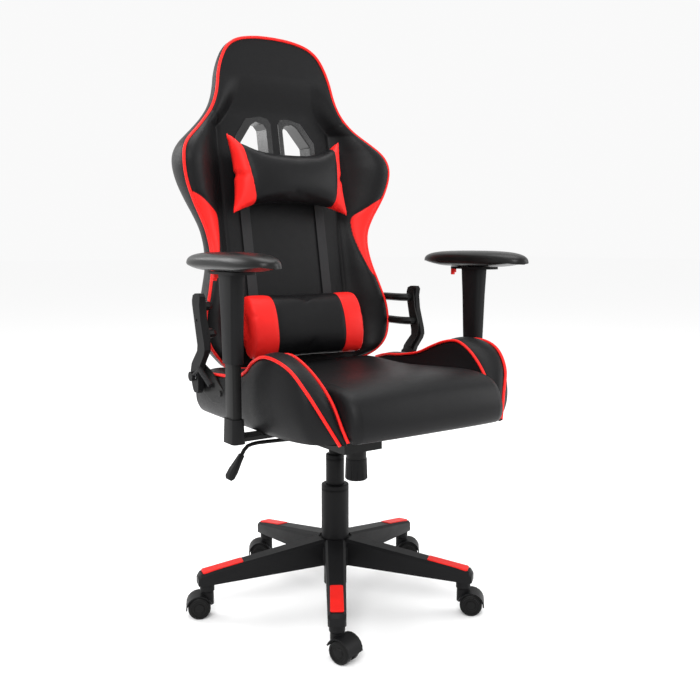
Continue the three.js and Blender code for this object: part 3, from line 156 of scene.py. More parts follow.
def spline(points: Sequence[Sequence[float]], count: int, closed: bool = False) -> list[Vector]:
    """Evenly spaced points on a smooth curve through the given ones.

    Args:
        points: The points the curve passes through.
        count: How many points to return.
        closed: Whether the curve runs back to its start.

    Returns:
        The spaced points; a closed curve's last is one step short of its first.
    """
    knots = [Vector(p) for p in points]
    n = len(knots)
    fine: list[Vector] = []
    spans = n if closed else n - 1
    for i in range(spans):
        p0 = knots[(i - 1) % n] if closed or i > 0 else knots[0] * 2 - knots[1]
        p1, p2 = knots[i], knots[(i + 1) % n]
        p3 = knots[(i + 2) % n] if closed or i + 2 < n else knots[-1] * 2 - knots[-2]
        for k in range(24):
            t = k / 24
            fine.append(
                0.5 * ((2 * p1) + (p2 - p0) * t + (2 * p0 - 5 * p1 + 4 * p2 - p3) * t**2
                       + (3 * p1 - p0 - 3 * p2 + p3) * t**3)
            )
    fine.append(knots[0].copy() if closed else knots[-1].copy())
    lengths = [0.0]
    for a, b in zip(fine, fine[1:]):
        lengths.append(lengths[-1] + (b - a).length)
    steps = count if closed else count - 1
    out: list[Vector] = []
    j = 0
    for i in range(count):
        target = lengths[-1] * i / steps
        while j < len(fine) - 2 and lengths[j + 1] < target:
            j += 1
        span = max(lengths[j + 1] - lengths[j], 1e-12)
        out.append(fine[j].lerp(fine[j + 1], min(max((target - lengths[j]) / span, 0.0), 1.0)))
    return out


def distance_to_lines(places: np.ndarray, lines: Sequence[Sequence[Pair]]) -> np.ndarray:
    """How far each place lies from the nearest of some plane polylines.

    Args:
        places: An array of n rows of two.
        lines: Polylines, each a list of plane points.

    Returns:
        n distances.
    """
    best = np.full(len(places), 1e9)
    for line in lines:
        for a, b in zip(line, line[1:]):
            start = np.array(a)
            run = np.array(b) - start
            t = np.clip(((places - start) @ run) / max(run @ run, 1e-12), 0, 1)
            gap = np.linalg.norm(places - start - t[:, None] * run, axis=1)
            best = np.minimum(best, gap)
    return best


def inside_loop(places: np.ndarray, loop: Sequence[Pair]) -> np.ndarray:
    """Which places lie inside a closed plane loop.

    Args:
        places: An array of n rows of two.
        loop: The loop's corners in order.

    Returns:
        n booleans.
    """
    inside = np.zeros(len(places), bool)
    x, z = places[:, 0], places[:, 1]
    for (x0, z0), (x1, z1) in zip(loop, list(loop[1:]) + [loop[0]]):
        if z0 == z1:
            continue
        crosses = (z0 > z) != (z1 > z)
        at = (x1 - x0) * (z - z0) / (z1 - z0) + x0
        inside ^= crosses & (x < at)
    return inside


# ---------- shader building ----------


class Value:
    """A socket that does arithmetic: each operator adds the Math node it stands for."""

    def __init__(self, shader: "Shader", socket: bpy.types.NodeSocket) -> None:
        """Wraps one output socket of a shader."""
        self.shader = shader
        self.socket = socket

    def _math(self, operation: str, *others: "Value | float") -> "Value":
        """The result of a Math node whose first input is this value."""
        settings = {"operation": operation}
        return self.shader.node("ShaderNodeMath", settings, {0: self, **dict(enumerate(others, 1))})

    def __add__(self, other: "Value | float") -> "Value":
        """self + other."""
        return self._math("ADD", other)

    __radd__ = __add__

    def __sub__(self, other: "Value | float") -> "Value":
        """self - other."""
        return self._math("SUBTRACT", other)

    def __rsub__(self, other: float) -> "Value":
        """other - self."""
        return self.shader.node("ShaderNodeMath", {"operation": "SUBTRACT"}, {0: other, 1: self})

    def __mul__(self, other: "Value | float") -> "Value":
        """self * other."""
        return self._math("MULTIPLY", other)

    __rmul__ = __mul__

    def __abs__(self) -> "Value":
        """The size of self without its sign."""
        return self._math("ABSOLUTE")

    def clamped(self) -> "Value":
        """self kept between 0 and 1.

        Returns:
            The clamped value.
        """
        return self.shader.node("ShaderNodeClamp", {}, {"Value": self})

    def rises(self, edge: float, softness: float) -> "Value":
        """A soft step from 0 below edge to 1 above it."""
        return ((self - edge) * (1 / softness) + 0.5).clamped()


# The places of a colour Mix node's sockets.
MIX_FACTOR, MIX_FIRST, MIX_SECOND, MIX_RESULT = 0, 6, 7, 2


class Shader:
    """One material's node tree, built by calls."""

    def __init__(self, name: str) -> None:
        """Starts an empty material with a principled shader.

        Args:
            name: The material's name.
        """
        self.material = bpy.data.materials.new(name)
        self.material.use_nodes = True
        self.tree = self.material.node_tree
        self.tree.nodes.clear()
        self.surface = self.tree.nodes.new("ShaderNodeBsdfPrincipled")
        output = self.tree.nodes.new("ShaderNodeOutputMaterial")
        self.tree.links.new(self.surface.outputs["BSDF"], output.inputs["Surface"])

    def node(
        self, kind: str, settings: dict[str, object], inputs: dict[object, object], output: object = 0
    ) -> Value:
        """Adds a node.

        Args:
            kind: The node's Blender type.
            settings: Attributes set first.
            inputs: Values or links, by input name or number.
            output: The output wanted, by name or number.

        Returns:
            That output.
        """
        made = self.tree.nodes.new(kind)
        for key, value in settings.items():
            setattr(made, key, value)
        for key, value in inputs.items():
            self.feed(made.inputs[key], value)
        return Value(self, made.outputs[output])

    def feed(self, socket: bpy.types.NodeSocket, value: object) -> None:
        """Links or sets one input socket.

        Args:
            socket: The input.
            value: A value, a colour or another socket's value.
        """
        if isinstance(value, Value):
            self.tree.links.new(value.socket, socket)
        elif isinstance(value, tuple) and len(value) == 3 and socket.type == "RGBA":
            socket.default_value = (*value, 1)
        else:
            socket.default_value = value

    def set(self, **values: object) -> None:
        """Feeds the principled shader's inputs, named with underscores for spaces."""
        for key, value in values.items():
            self.feed(self.surface.inputs[key.replace("_", " ")], value)

    def position(self) -> Value:
        """The place on the object, in metres."""
        return self.node("ShaderNodeTexCoord", {}, {}, "Object")

    def noise(self, scale: float, detail: float = 3.0, roughness: float = 0.55) -> Value:
        """Smooth noise from 0 to 1 with features 1/scale metres across."""
        inputs = {"Vector": self.position(), "Scale": scale, "Detail": detail, "Roughness": roughness}
        return self.node("ShaderNodeTexNoise", {}, inputs, "Fac")

    def cells(self, scale: float) -> Value:
        """The distance to the nearest edge of cells 1/scale metres across.

        Args:
            scale: Cells to a metre.

        Returns:
            The distance.
        """
        inputs = {"Vector": self.position(), "Scale": scale}
        return self.node("ShaderNodeTexVoronoi", {"feature": "DISTANCE_TO_EDGE"}, inputs)

    def attribute(self, name: str) -> Value:
        """A number stored on the mesh's points."""
        return self.node("ShaderNodeAttribute", {"attribute_name": name}, {}, "Fac")

    def axis(self, which: str) -> Value:
        """One coordinate of the place on the object."""
        return self.node("ShaderNodeSeparateXYZ", {}, {0: self.position()}, which)

    def blend(self, factor: object, first: object, second: object) -> Value:
        """A colour mixed from first to second by factor.

        Args:
            factor: The share of the second colour.
            first: One colour.
            second: The other.

        Returns:
            The mixed colour.
        """
        inputs = {MIX_FACTOR: factor, MIX_FIRST: first, MIX_SECOND: second}
        return self.node("ShaderNodeMix", {"data_type": "RGBA"}, inputs, MIX_RESULT)

    def bump(self, height: Value, strength: float, distance: float, below: Optional[Value] = None) -> Value:
        """A normal roughened by a height.

        Args:
            height: The height read by the bump.
            strength: Its strength, from 0 to 1.
            distance: The height's size in metres.
            below: A normal that the bump adds to.

        Returns:
            The normal.
        """
        inputs: dict[object, object] = {"Height": height, "Strength": strength, "Distance": distance}
        if below is not None:
            inputs["Normal"] = below
        return self.node("ShaderNodeBump", {}, inputs)


# ---------- finishes ----------

Colour = tuple[float, float, float]

INK: Colour = (0.005, 0.005, 0.0055)
SOOT: Colour = (0.006, 0.006, 0.006)
SCARLET: Colour = (0.78, 0.017, 0.014)


class Panel(Enum):
    """Where a leather piece turns from its own colour to the second one."""

    NONE = "none"
    ATTRIBUTE = "attribute"
    BOW_ENDS = "bow_ends"
    BANDS = "bands"


@dataclass(frozen=True)
class Leather:
    """Grained synthetic leather, with an optional second colour and seams read from the mesh."""

    name: str
    colour: Colour
    second: Colour = SCARLET
    panel: Panel = Panel.NONE
    seams: bool = False
    roughness: float = 0.43
    grain_scale: float = 620.0
    grain_depth: float = 0.00022
    edge: float = 0.0

    def material(self) -> bpy.types.Material:
        """The finished material.

        Returns:
            The material.
        """
        s = Shader(self.name)
        drift = s.noise(9.0, 2.0)
        mottle = s.noise(140.0, 4.0, 0.6)
        pebble = s.cells(self.grain_scale)
        fine = s.noise(self.grain_scale * 2.1, 2.0)
        shade = (drift * 0.35 + mottle * 0.25 + 0.7).clamped()
        dark = tuple(0.72 * c for c in self.colour)
        colour = s.blend(shade, dark, self.colour)
        rough = self.roughness + (mottle - 0.5) * 0.12 + (drift - 0.5) * 0.1
        if self.panel is not Panel.NONE:
            mask = self._mask(s)
            tone = s.blend(shade, tuple(0.8 * c for c in self.second), self.second)
            colour = s.blend(mask, colour, tone)
        height = (pebble * 6.0).clamped() * 0.7 + fine * 0.3
        if self.seams:
            seam = s.attribute("seam")
            line = 1.0 - seam.rises(0.0012, 0.0012)
            colour = s.blend(line * 0.85, colour, (0.004, 0.004, 0.004))
            rough = rough + line * 0.2
        creases = s.noise(38.0, 3.0, 0.5)
        normal = s.bump(creases, 0.12, 0.004)
        normal = s.bump(height, 0.35, self.grain_depth, normal)
        s.set(Base_Color=colour, Roughness=rough, Normal=normal, Specular_IOR_Level=0.14)
        s.set(Coat_Roughness=0.5)
        return s.material

    def _mask(self, s: Shader) -> Value:
        """1 where the second colour lies.

        Args:
            s: The shader that the mask is built in.

        Returns:
            The mask.
        """
        if self.panel is Panel.ATTRIBUTE:
            return s.attribute("red").rises(0.0, 0.0008)
        across = abs(s.axis("X"))
        if self.panel is Panel.BANDS:
            return across.rises(self.edge, 0.001)
        edge = self.edge + (s.axis("Z") - 0.92) * 0.15
        return (across - edge).rises(0.0, 0.001)


@dataclass(frozen=True)
class Moulded:
    """Textured moulded plastic or a foam skin."""

    name: str
    colour: Colour
    roughness: float = 0.5
    grain: float = 900.0
    depth: float = 0.00012
    specular: float = 0.12

    def material(self) -> bpy.types.Material:
        """The finished material.

        Returns:
            The material.
        """
        s = Shader(self.name)
        cloud = s.noise(22.0, 3.0)
        speckle = s.noise(self.grain, 2.0)
        worn = s.noise(70.0, 4.0, 0.65)
        colour = s.blend(cloud, tuple(0.8 * c for c in self.colour), tuple(1.15 * c for c in self.colour))
        rough = self.roughness + (cloud - 0.5) * 0.14 + (worn - 0.5) * 0.1
        normal = s.bump(speckle, 0.5, self.depth)
        s.set(Base_Color=colour, Roughness=rough, Normal=normal, Specular_IOR_Level=self.specular)
        return s.material


@dataclass(frozen=True)
class Steel:
    """Steel, powder-coated or left bright."""

    name: str
    colour: Colour
    metallic: float
    roughness: float
    peel: float = 260.0

    def material(self) -> bpy.types.Material:
        """The finished material.

        Returns:
            The material.
        """
        s = Shader(self.name)
        peel = s.noise(self.peel, 2.0)
        haze = s.noise(18.0, 3.0)
        scuff = s.noise(110.0, 5.0, 0.7).rises(0.66, 0.08)
        colour = s.blend(haze, tuple(0.8 * c for c in self.colour), tuple(1.2 * c for c in self.colour))
        rough = self.roughness + (haze - 0.5) * 0.12 + scuff * 0.12
        normal = s.bump(peel, 0.25, 0.0002)
        s.set(Base_Color=colour, Roughness=rough, Normal=normal, Metallic=self.metallic)
        s.set(Specular_IOR_Level=0.13)
        return s.material


@dataclass(frozen=True)
class Webbing:
    """Woven elastic: fine ribs along the strap crossed by its threads."""

    name: str
    colour: Colour
    pitch: float = 900.0

    def material(self) -> bpy.types.Material:
        """The finished material.

        Returns:
            The material.
        """
        s = Shader(self.name)
        settings = {"wave_type": "BANDS", "bands_direction": "X"}
        ribs = s.node("ShaderNodeTexWave", settings, {"Vector": s.position(), "Scale": self.pitch / 6.0})
        settings = {"wave_type": "BANDS", "bands_direction": "Z"}
        picks = s.node("ShaderNodeTexWave", settings, {"Vector": s.position(), "Scale": self.pitch / 4.0})
        fuzz = s.noise(1500.0, 2.0)
        weave = ribs * 0.6 + picks * 0.3 + fuzz * 0.2
        colour = s.blend(weave, tuple(0.45 * c for c in self.colour), tuple(1.5 * c for c in self.colour))
        s.set(Base_Color=colour, Roughness=0.75 + fuzz * 0.15, Normal=s.bump(weave, 0.7, 0.0004))
        return s.material


class Finishes:
    """Every finish on the chair, each made once."""

    def __init__(self) -> None:
        """Makes the materials."""
        self.back = Leather("back_cover", INK, panel=Panel.ATTRIBUTE, seams=True).material()
        self.seat = Leather("seat_cover", INK, seams=True, roughness=0.46).material()
        self.head = Leather("head_pillow_cover", INK, panel=Panel.BOW_ENDS, seams=True, edge=0.110).material()
        self.lumbar = Leather("lumbar_cover", INK, panel=Panel.BANDS, seams=True, edge=0.088).material()
        self.piping = Leather("red_piping", SCARLET, grain_scale=900.0, roughness=0.4).material()
        self.nylon = Moulded("black_nylon", (0.0055, 0.0055, 0.006)).material()
        self.foam = Moulded("pad_skin", SOOT, roughness=0.33, grain=1400.0, specular=0.2).material()
        self.red = Moulded("red_moulding", (0.72, 0.016, 0.012), roughness=0.42).material()
        self.coat = Steel("black_coat", SOOT, 0.0, 0.42).material()
        self.zinc = Steel("bright_zinc", (0.55, 0.56, 0.58), 1.0, 0.32).material()
        self.webbing = Webbing("woven_elastic", (0.011, 0.011, 0.012)).material()
        self.bezel = Moulded("glossy_bezel", INK, roughness=0.24, specular=0.5).material()
        self.tread = Moulded("wheel_tread", SOOT, roughness=0.45).material()


# ---------- making pieces ----------


def add_piece(
    name: str,
    mesh: Mesh,
    body: str,
    material: bpy.types.Material,
    slot: Slot,
    sharp: float = 40.0,
) -> bpy.types.Object:
    """Turns a bmesh into a piece that rides on a body.

    Args:
        name: The piece's name.
        mesh: Its shape, which is freed.
        body: The CAD body it rides on.
        material: Its finish.
        slot: The record's slot; not used.
        sharp: Edges that turn by more than this many degrees stay crisp.

    Returns:
        The new object.
    """
    limit = math.radians(sharp)
    for face in mesh.faces:
        face.smooth = True
    for edge in mesh.edges:
        edge.smooth = len(edge.link_faces) != 2 or edge.calc_face_angle(0) < limit
    data = bpy.data.meshes.new(name)
    mesh.to_mesh(data)
    mesh.free()
    data.materials.append(material)
    piece = bpy.data.objects.new(name, data)
    bpy.context.scene.collection.objects.link(piece)
    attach(piece, body)
    return piece


def close_up(mesh: Mesh, distance: float = 2e-5) -> Mesh:
    """Merges doubled points and turns the faces outwards.

    Args:
        mesh: The mesh, changed in place.
        distance: Points nearer than this are merged.

    Returns:
        The same mesh.
    """
    bmesh.ops.remove_doubles(mesh, verts=mesh.verts, dist=distance)
    bmesh.ops.dissolve_degenerate(mesh, edges=mesh.edges, dist=1e-6)
    bmesh.ops.recalc_face_normals(mesh, faces=mesh.faces)
    return mesh


def draped_grid(across: int, along: int, place: Place, mesh: Optional[Mesh] = None) -> Mesh:
    """A grid whose points are carried to a surface.

    Args:
        across: Cells along u.
        along: Cells along v.
        place: Gives the surface point at u, v, each from 0 to 1.
        mesh: A bmesh to add to, or none for a new one.

    Returns:
        The bmesh.
    """
    mesh = mesh or bmesh.new()
    made = bmesh.ops.create_grid(mesh, x_segments=across, y_segments=along, size=0.5)
    for vert in made["verts"]:
        vert.co = place(min(max(vert.co.x + 0.5, 0), 1), min(max(vert.co.y + 0.5, 0), 1))
    return mesh


def loft(rings: Sequence[Sequence[Vector]]) -> Mesh:
    """A closed skin bridged through rings, with the end rings filled.

    Args:
        rings: Rings of equally many points.

    Returns:
        The bmesh.
    """
    mesh = bmesh.new()
    loops = []
    for ring in rings:
        verts = [mesh.verts.new(p) for p in ring]
        edges = [mesh.edges.new((a, b)) for a, b in zip(verts, verts[1:] + verts[:1])]
        loops.append(edges)
    for first, second in zip(loops, loops[1:]):
        bmesh.ops.bridge_loops(mesh, edges=first + second)
    for edges in (loops[0], loops[-1]):
        bmesh.ops.edgeloop_fill(mesh, edges=edges)
    bmesh.ops.recalc_face_normals(mesh, faces=mesh.faces)
    return mesh


def tube(points: Sequence[Vector], radius: float, closed: bool = False, sides: int = 4) -> Mesh:
    """A round tube along a curve.

    Args:
        points: The curve's points.
        radius: The tube's radius.
        closed: Whether it runs back to its start.
        sides: Resolution of a quarter turn.

    Returns:
        The tube's bmesh.
    """
    curve = bpy.data.curves.new("route", "CURVE")
    curve.dimensions = "3D"
    curve.bevel_depth = radius
    curve.bevel_resolution = sides - 1
    curve.use_fill_caps = not closed
    line = curve.splines.new("POLY")
    line.points.add(len(points) - 1)
    for knot, point in zip(line.points, points):
        knot.co = (*point, 1)
    line.use_cyclic_u = closed
    holder = bpy.data.objects.new("route", curve)
    bpy.context.scene.collection.objects.link(holder)
    shape = bpy.data.meshes.new_from_object(holder)
    mesh = bmesh.new()
    mesh.from_mesh(shape)
    bpy.data.objects.remove(holder)
    bpy.data.curves.remove(curve)
    bpy.data.meshes.remove(shape)
    return close_up(mesh)


def turned(profile: Sequence[Pair], centre: Vector, axis: Vector, steps: int = 64) -> Mesh:
    """A surface of revolution.

    Args:
        profile: Pairs of radius and distance along the axis, in metres; closed, or ending on the axis.
        centre: The axis's origin.
        axis: Its direction.
        steps: Facets round it.

    Returns:
        The bmesh.
    """
    mesh = bmesh.new()
    turn = Vector((0, 0, 1)).rotation_difference(axis.normalized()).to_matrix().to_4x4()
    verts = [mesh.verts.new((radius, 0, height)) for radius, height in profile]
    if profile[0][0] > 1e-6:
        verts.append(verts[0])
    edges = [mesh.edges.new((a, b)) for a, b in zip(verts, verts[1:])]
    geometry = list(dict.fromkeys(verts)) + edges
    bmesh.ops.spin(
        mesh, geom=geometry, cent=(0, 0, 0), axis=(0, 0, 1), angle=2 * math.pi, steps=steps, use_merge=True
    )
    bmesh.ops.transform(mesh, matrix=Matrix.Translation(centre) @ turn, verts=mesh.verts)
    return close_up(mesh)


def mirrored(points: Sequence[Vector], side: Side) -> list[Vector]:
    """Points given for the +X side, on the side asked for."""
    return [Vector((p.x * side.value, p.y, p.z)) for p in points]


def store(mesh: Mesh, name: str, values: np.ndarray) -> None:
    """Keeps one number per point under a name that shaders read.

    Args:
        mesh: The mesh.
        name: The name that shaders read.
        values: One number for each point.
    """
    layer = mesh.verts.layers.float.new(name)
    for vert, value in zip(mesh.verts, values):
        vert[layer] = float(value)


def refine(node: str, material: bpy.types.Material, bevel: float, segments: int = 2) -> bpy.types.Object:
    """A finely edged copy of a hard CAD node that stands for it.

    Args:
        node: The CAD node.
        material: Its finish.
        bevel: The width that its edges are rounded to, in metres; 0 for none.
        segments: Facets across each rounded edge.

    Returns:
        The piece.
    """
    source = frame["nodes"][node]
    slot = next(s["material_slot"] for s in frame["record"]["subparts"] if s["node"] == node)
    mesh = bmesh.new()
    mesh.from_mesh(source.data)
    bmesh.ops.remove_doubles(mesh, verts=mesh.verts, dist=5e-6)
    bmesh.ops.dissolve_limit(
        mesh, angle_limit=math.radians(1.5), use_dissolve_boundaries=False, verts=mesh.verts, edges=mesh.edges
    )
    body = source["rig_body"]
    piece = add_piece(node + "_finished", mesh, body, material, Slot(slot), sharp=32.0)
    if bevel > 0:
        modifier = piece.modifiers.new("rounding", "BEVEL")
        modifier.width = bevel
        modifier.segments = segments
        modifier.limit_method = "ANGLE"
        modifier.angle_limit = math.radians(32)
        modifier.use_clamp_overlap = True
        modifier.harden_normals = False
    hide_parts(node)
    return piece


# ---------- the seat ----------


@dataclass
class Seat:
    """The seat's cushion and its two bolsters with their piping."""

    finishes: Finishes
    half_width: float = 0.183
    rear: float = 0.131
    floor: float = 0.4305
    inner_wall: float = 0.1836
    piping_radius: float = 0.0031
    edge_radius: float = 0.016
    seam_inset: float = 0.0105

    def side_profile(self) -> list[Vector]:
        """The cushion's outline seen from the side, from the rear underside up and forwards.

        Returns:
            The outline's points.
        """
        pan_front = -0.246
        points = [
            (0.128, 0.4395), (0.1305, 0.452), (0.131, 0.478), (0.131, 0.500), (0.127, 0.513),
            (0.110, 0.519), (0.06, 0.5185), (-0.03, 0.5165), (-0.10, 0.520), (-0.17, 0.5245),
            (-0.235, 0.527), (-0.278, 0.5235), (-0.307, 0.511), (-0.324, 0.489), (-0.331, 0.463),
            (-0.328, 0.441), (-0.315, 0.4315), (-0.285, 0.4305),
            (pan_front - 0.002, 0.4305), (pan_front, 0.4395), (-0.10, 0.4395), (0.06, 0.4395),
        ]
        return spline([(0, y + COLUMN_Y, z) for y, z in points], 120, closed=True)

    def cushion(self) -> bpy.types.Object:
        """The crowned cushion with its rolled front and sewn side boxing.

        Returns:
            The piece.
        """
        outline = self.side_profile()
        middle_y = sum(p.y for p in outline) / len(outline)
        middle_z = 0.475
        edge = self.edge_radius
        flat = 0.88

        def place(u: float, v: float) -> Vector:
            """Across the seat by u and round the outline by v.

            Args:
                u: The share across, from 0 to 1.
                v: The share along or round, from 0 to 1.

            Returns:
                The point of the cover.
            """
            s = 2 * u - 1
            a = abs(s)
            if a < flat:
                x = self.half_width * s / flat * (1 - edge / self.half_width)
                shrink = 0.0
            else:
                t = (a - flat) / (1 - flat)
                if t < 0.6:
                    angle = t / 0.6 * math.pi / 2
                    x = math.copysign(self.half_width - edge + edge * math.sin(angle), s)
                    shrink = edge * (1 - math.cos(angle))
                else:
                    x = math.copysign(self.half_width, s)
                    shrink = edge + (t - 0.6) / 0.4 * 0.26
            k = v * len(outline)
            i = int(k) % len(outline)
            p = outline[i].lerp(outline[(i + 1) % len(outline)], k - int(k))
            centre = Vector((0, min(max(p.y, -0.29), middle_y + 0.12), middle_z))
            out = Vector((0, p.y - centre.y, p.z - centre.z))
            length = max(out.length, 1e-6)
            p = centre + out * max(1 - shrink / length, 0.0)
            q = x / self.half_width
            top = smooth_step(0.478, 0.506, p.z)
            crown = 0.004 * (1 - q * q) - 0.006 * math.exp(-((q * 1.7) ** 2)) * smooth_step(-0.24, -0.05, p.y)
            front = smooth_step(-0.26, -0.318, p.y) * 0.006 * (1 - q**4)
            return Vector((x, p.y - front, p.z + crown * top))

        mesh = close_up(draped_grid(110, 150, place), 1e-4)
        self.seam_lines(mesh)
        piece = add_piece("seat_cushion_cover", mesh, "seat", self.finishes.seat, Slot.BLACK_LEATHER, 70)
        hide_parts("seat_cushion")
        return piece

    def seam_lines(self, mesh: Mesh) -> None:
        """Sinks the seam that runs along each side of the top and down the front corners.

        Args:
            mesh: The cushion's cover.
        """
        near = []
        line = self.half_width - self.seam_inset
        mesh.normal_update()
        for vert in mesh.verts:
            upper = smooth_step(0.436, 0.446, vert.co.z)
            gap = abs(abs(vert.co.x) - line) if upper > 0 else 1.0
            if vert.co.y > self.rear + COLUMN_Y - 0.004:
                gap = 1.0
            near.append(gap)
        depths = [0.0022 * math.exp(-((g / 0.0026) ** 2)) for g in near]
        moves = [-vert.normal * depth for vert, depth in zip(mesh.verts, depths)]
        for vert, move in zip(mesh.verts, moves):
            vert.co += move
        store(mesh, "seam", np.array(near))
        store(mesh, "red", np.full(len(near), -1.0))

    def outer_line(self) -> list[Vector]:
        """The outer piping's route on the +X side, from the front foot to the rear.

        Returns:
            The route's points.
        """
        points = [
            (0.196, -0.306, 0.4305), (0.2065, -0.298, 0.452), (0.219, -0.288, 0.478), (0.241, -0.270, 0.523),
            (0.2535, -0.238, 0.558), (0.2605, -0.196, 0.574), (0.262, -0.150, 0.5755), (0.262, -0.112, 0.561),
            (0.262, -0.085, 0.5405), (0.2615, -0.045, 0.526), (0.261, 0.030, 0.520), (0.260, 0.090, 0.516),
            (0.258, 0.131, 0.508),
        ]
        return [Vector((x, y + COLUMN_Y, z)) for x, y, z in spline(points, 90)]

    def inner_line(self) -> list[Vector]:
        """The inner piping's route on the +X side.

        Returns:
            The route's points.
        """
        points = [
            (0.1855, -0.316, 0.436), (0.187, -0.300, 0.458), (0.190, -0.273, 0.500), (0.196, -0.240, 0.535),
            (0.202, -0.200, 0.562), (0.2055, -0.160, 0.5755), (0.2065, -0.120, 0.571),
            (0.2060, -0.080, 0.5575), (0.2055, -0.030, 0.538), (0.2055, 0.030, 0.527),
            (0.2065, 0.090, 0.521), (0.209, 0.131, 0.511),
        ]
        return [Vector((x, y + COLUMN_Y, z)) for x, y, z in spline(points, 90)]

    def bolster(self, side: Side) -> bpy.types.Object:
        """One bolster: an outer panel, a band between the two lines of piping, and an inner panel.

        Args:
            side: The side it is on.

        Returns:
            The piece.
        """
        outer, inner = self.outer_line(), self.inner_line()
        last = len(outer) - 1

        def at(line: list[Vector], t: float) -> Vector:
            """The point a share t along a line.

            Args:
                line: The line's points.
                t: The share.

            Returns:
                The point.
            """
            k = t * last
            i = min(int(k), last - 1)
            return line[i].lerp(line[i + 1], k - i)

        def section(t: float) -> list[Vector]:
            """The corners and swells of the closed section a share t along the bolster.

            Args:
                t: The share along the bolster.

            Returns:
                The section's points, in order.
            """
            o, i = at(outer, t), at(inner, t)
            foot_out = Vector((o.x - 0.004 + 0.002 * t, o.y, self.floor))
            foot_in = Vector((0.1838, i.y, self.floor))
            height = o.z - self.floor
            swell = 0.012 * smooth_step(0.02, 0.10, height)
            points = []
            for k in range(15):
                s = k / 15
                p = foot_out.lerp(o, s)
                p.x += swell * math.sin(math.pi * min(s * 1.02, 1)) ** 0.8 * (1 - 0.35 * s)
                p.x -= 0.006 * (1 - s) ** 6
                points.append(p)
            for k in range(12):
                s = k / 12
                p = o.lerp(i, s)
                lift = 0.0065 * math.sin(math.pi * s) * smooth_step(0.0, 0.12, t)
                along = at(outer, min(t + 0.02, 1)) - at(outer, max(t - 0.02, 0))
                up = Vector((0, -along.z, along.y)).normalized()
                points.append(p + up * lift)
            for k in range(15):
                s = k / 15
                p = i.lerp(foot_in, s)
                p.x += 0.004 * math.sin(math.pi * s) - min(0.020 * smooth_step(0, 1, s), max(p.x - 0.1838, 0))
                p.x = max(p.x, self.inner_wall)
                points.append(p)
            for k in range(6):
                points.append(foot_in.lerp(foot_out, k / 6))
            return points

        stations = 110
        sections = [section(t / stations) for t in range(stations + 1)]
        around = len(sections[0])

        def place(u: float, v: float) -> Vector:
            """Round the section by u, along the bolster by v, with the ends drawn shut.

            Args:
                u: The share across, from 0 to 1.
                v: The share along or round, from 0 to 1.

            Returns:
                The point of the cover.
            """
            k = v * (stations + 4) - 2
            t = min(max(k, 0), stations)
            i = min(int(t), stations - 1)
            j = int(round(u * around)) % around
            p = sections[i][j].lerp(sections[i + 1][j], t - i)
            past = max(-k, k - stations, 0.0) / 2
            if past > 0:
                ring = sections[0] if k < 0 else sections[-1]
                centre = sum(ring, Vector()) / around
                p = p.lerp(centre, 1 if past >= 1 else past * 0.5)
            return p

        mesh = draped_grid(around, stations + 4, place)
        if side is Side.RIGHT:
            bmesh.ops.transform(mesh, matrix=Matrix.Scale(-1, 4, (1, 0, 0)), verts=mesh.verts)
        close_up(mesh, 1e-4)
        self.sink_at_piping(mesh, side)
        piece = add_piece(
            "seat_bolster_cover_" + side.word, mesh, "seat", self.finishes.seat, Slot.BLACK_LEATHER, 60
        )
        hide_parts("seat_bolster_" + side.word)
        return piece

    def sink_at_piping(self, mesh: Mesh, side: Side) -> None:
        """Draws the cover in along the piping.

        Args:
            mesh: The bolster's cover.
            side: The side it is on.
        """
        lines = [mirrored(self.outer_line(), side), mirrored(self.inner_line(), side)]
        knots = np.array([tuple(p) for line in lines for p in line])
        mesh.normal_update()
        gaps = []
        for vert in mesh.verts:
            gap = float(np.min(np.linalg.norm(knots - np.array(vert.co), axis=1)))
            gaps.append(gap)
        for vert, gap in zip(mesh.verts, gaps):
            vert.co -= vert.normal * 0.0026 * math.exp(-((gap / 0.006) ** 2))
        store(mesh, "seam", np.maximum(np.array(gaps) - 0.002, 0.0))
        store(mesh, "red", np.full(len(gaps), -1.0))

    def piping(self, side: Side) -> None:
        """Both lines of piping on one side.

        Args:
            side: The side they are on.
        """
        for word, line in (("outer", self.outer_line()), ("inner", self.inner_line())):
            mesh = tube(mirrored(line, side), self.piping_radius)
            name = f"seat_piping_{word}_{side.word}"
            add_piece(name, mesh, "seat", self.finishes.piping, Slot.RED_LEATHER)

    def build(self) -> None:
        """Builds every piece of the seat."""
        self.cushion()
        for side in Side:
            self.bolster(side)
            self.piping(side)
        log.info("seat: cushion, bolsters and piping")


# ---------- the back ----------


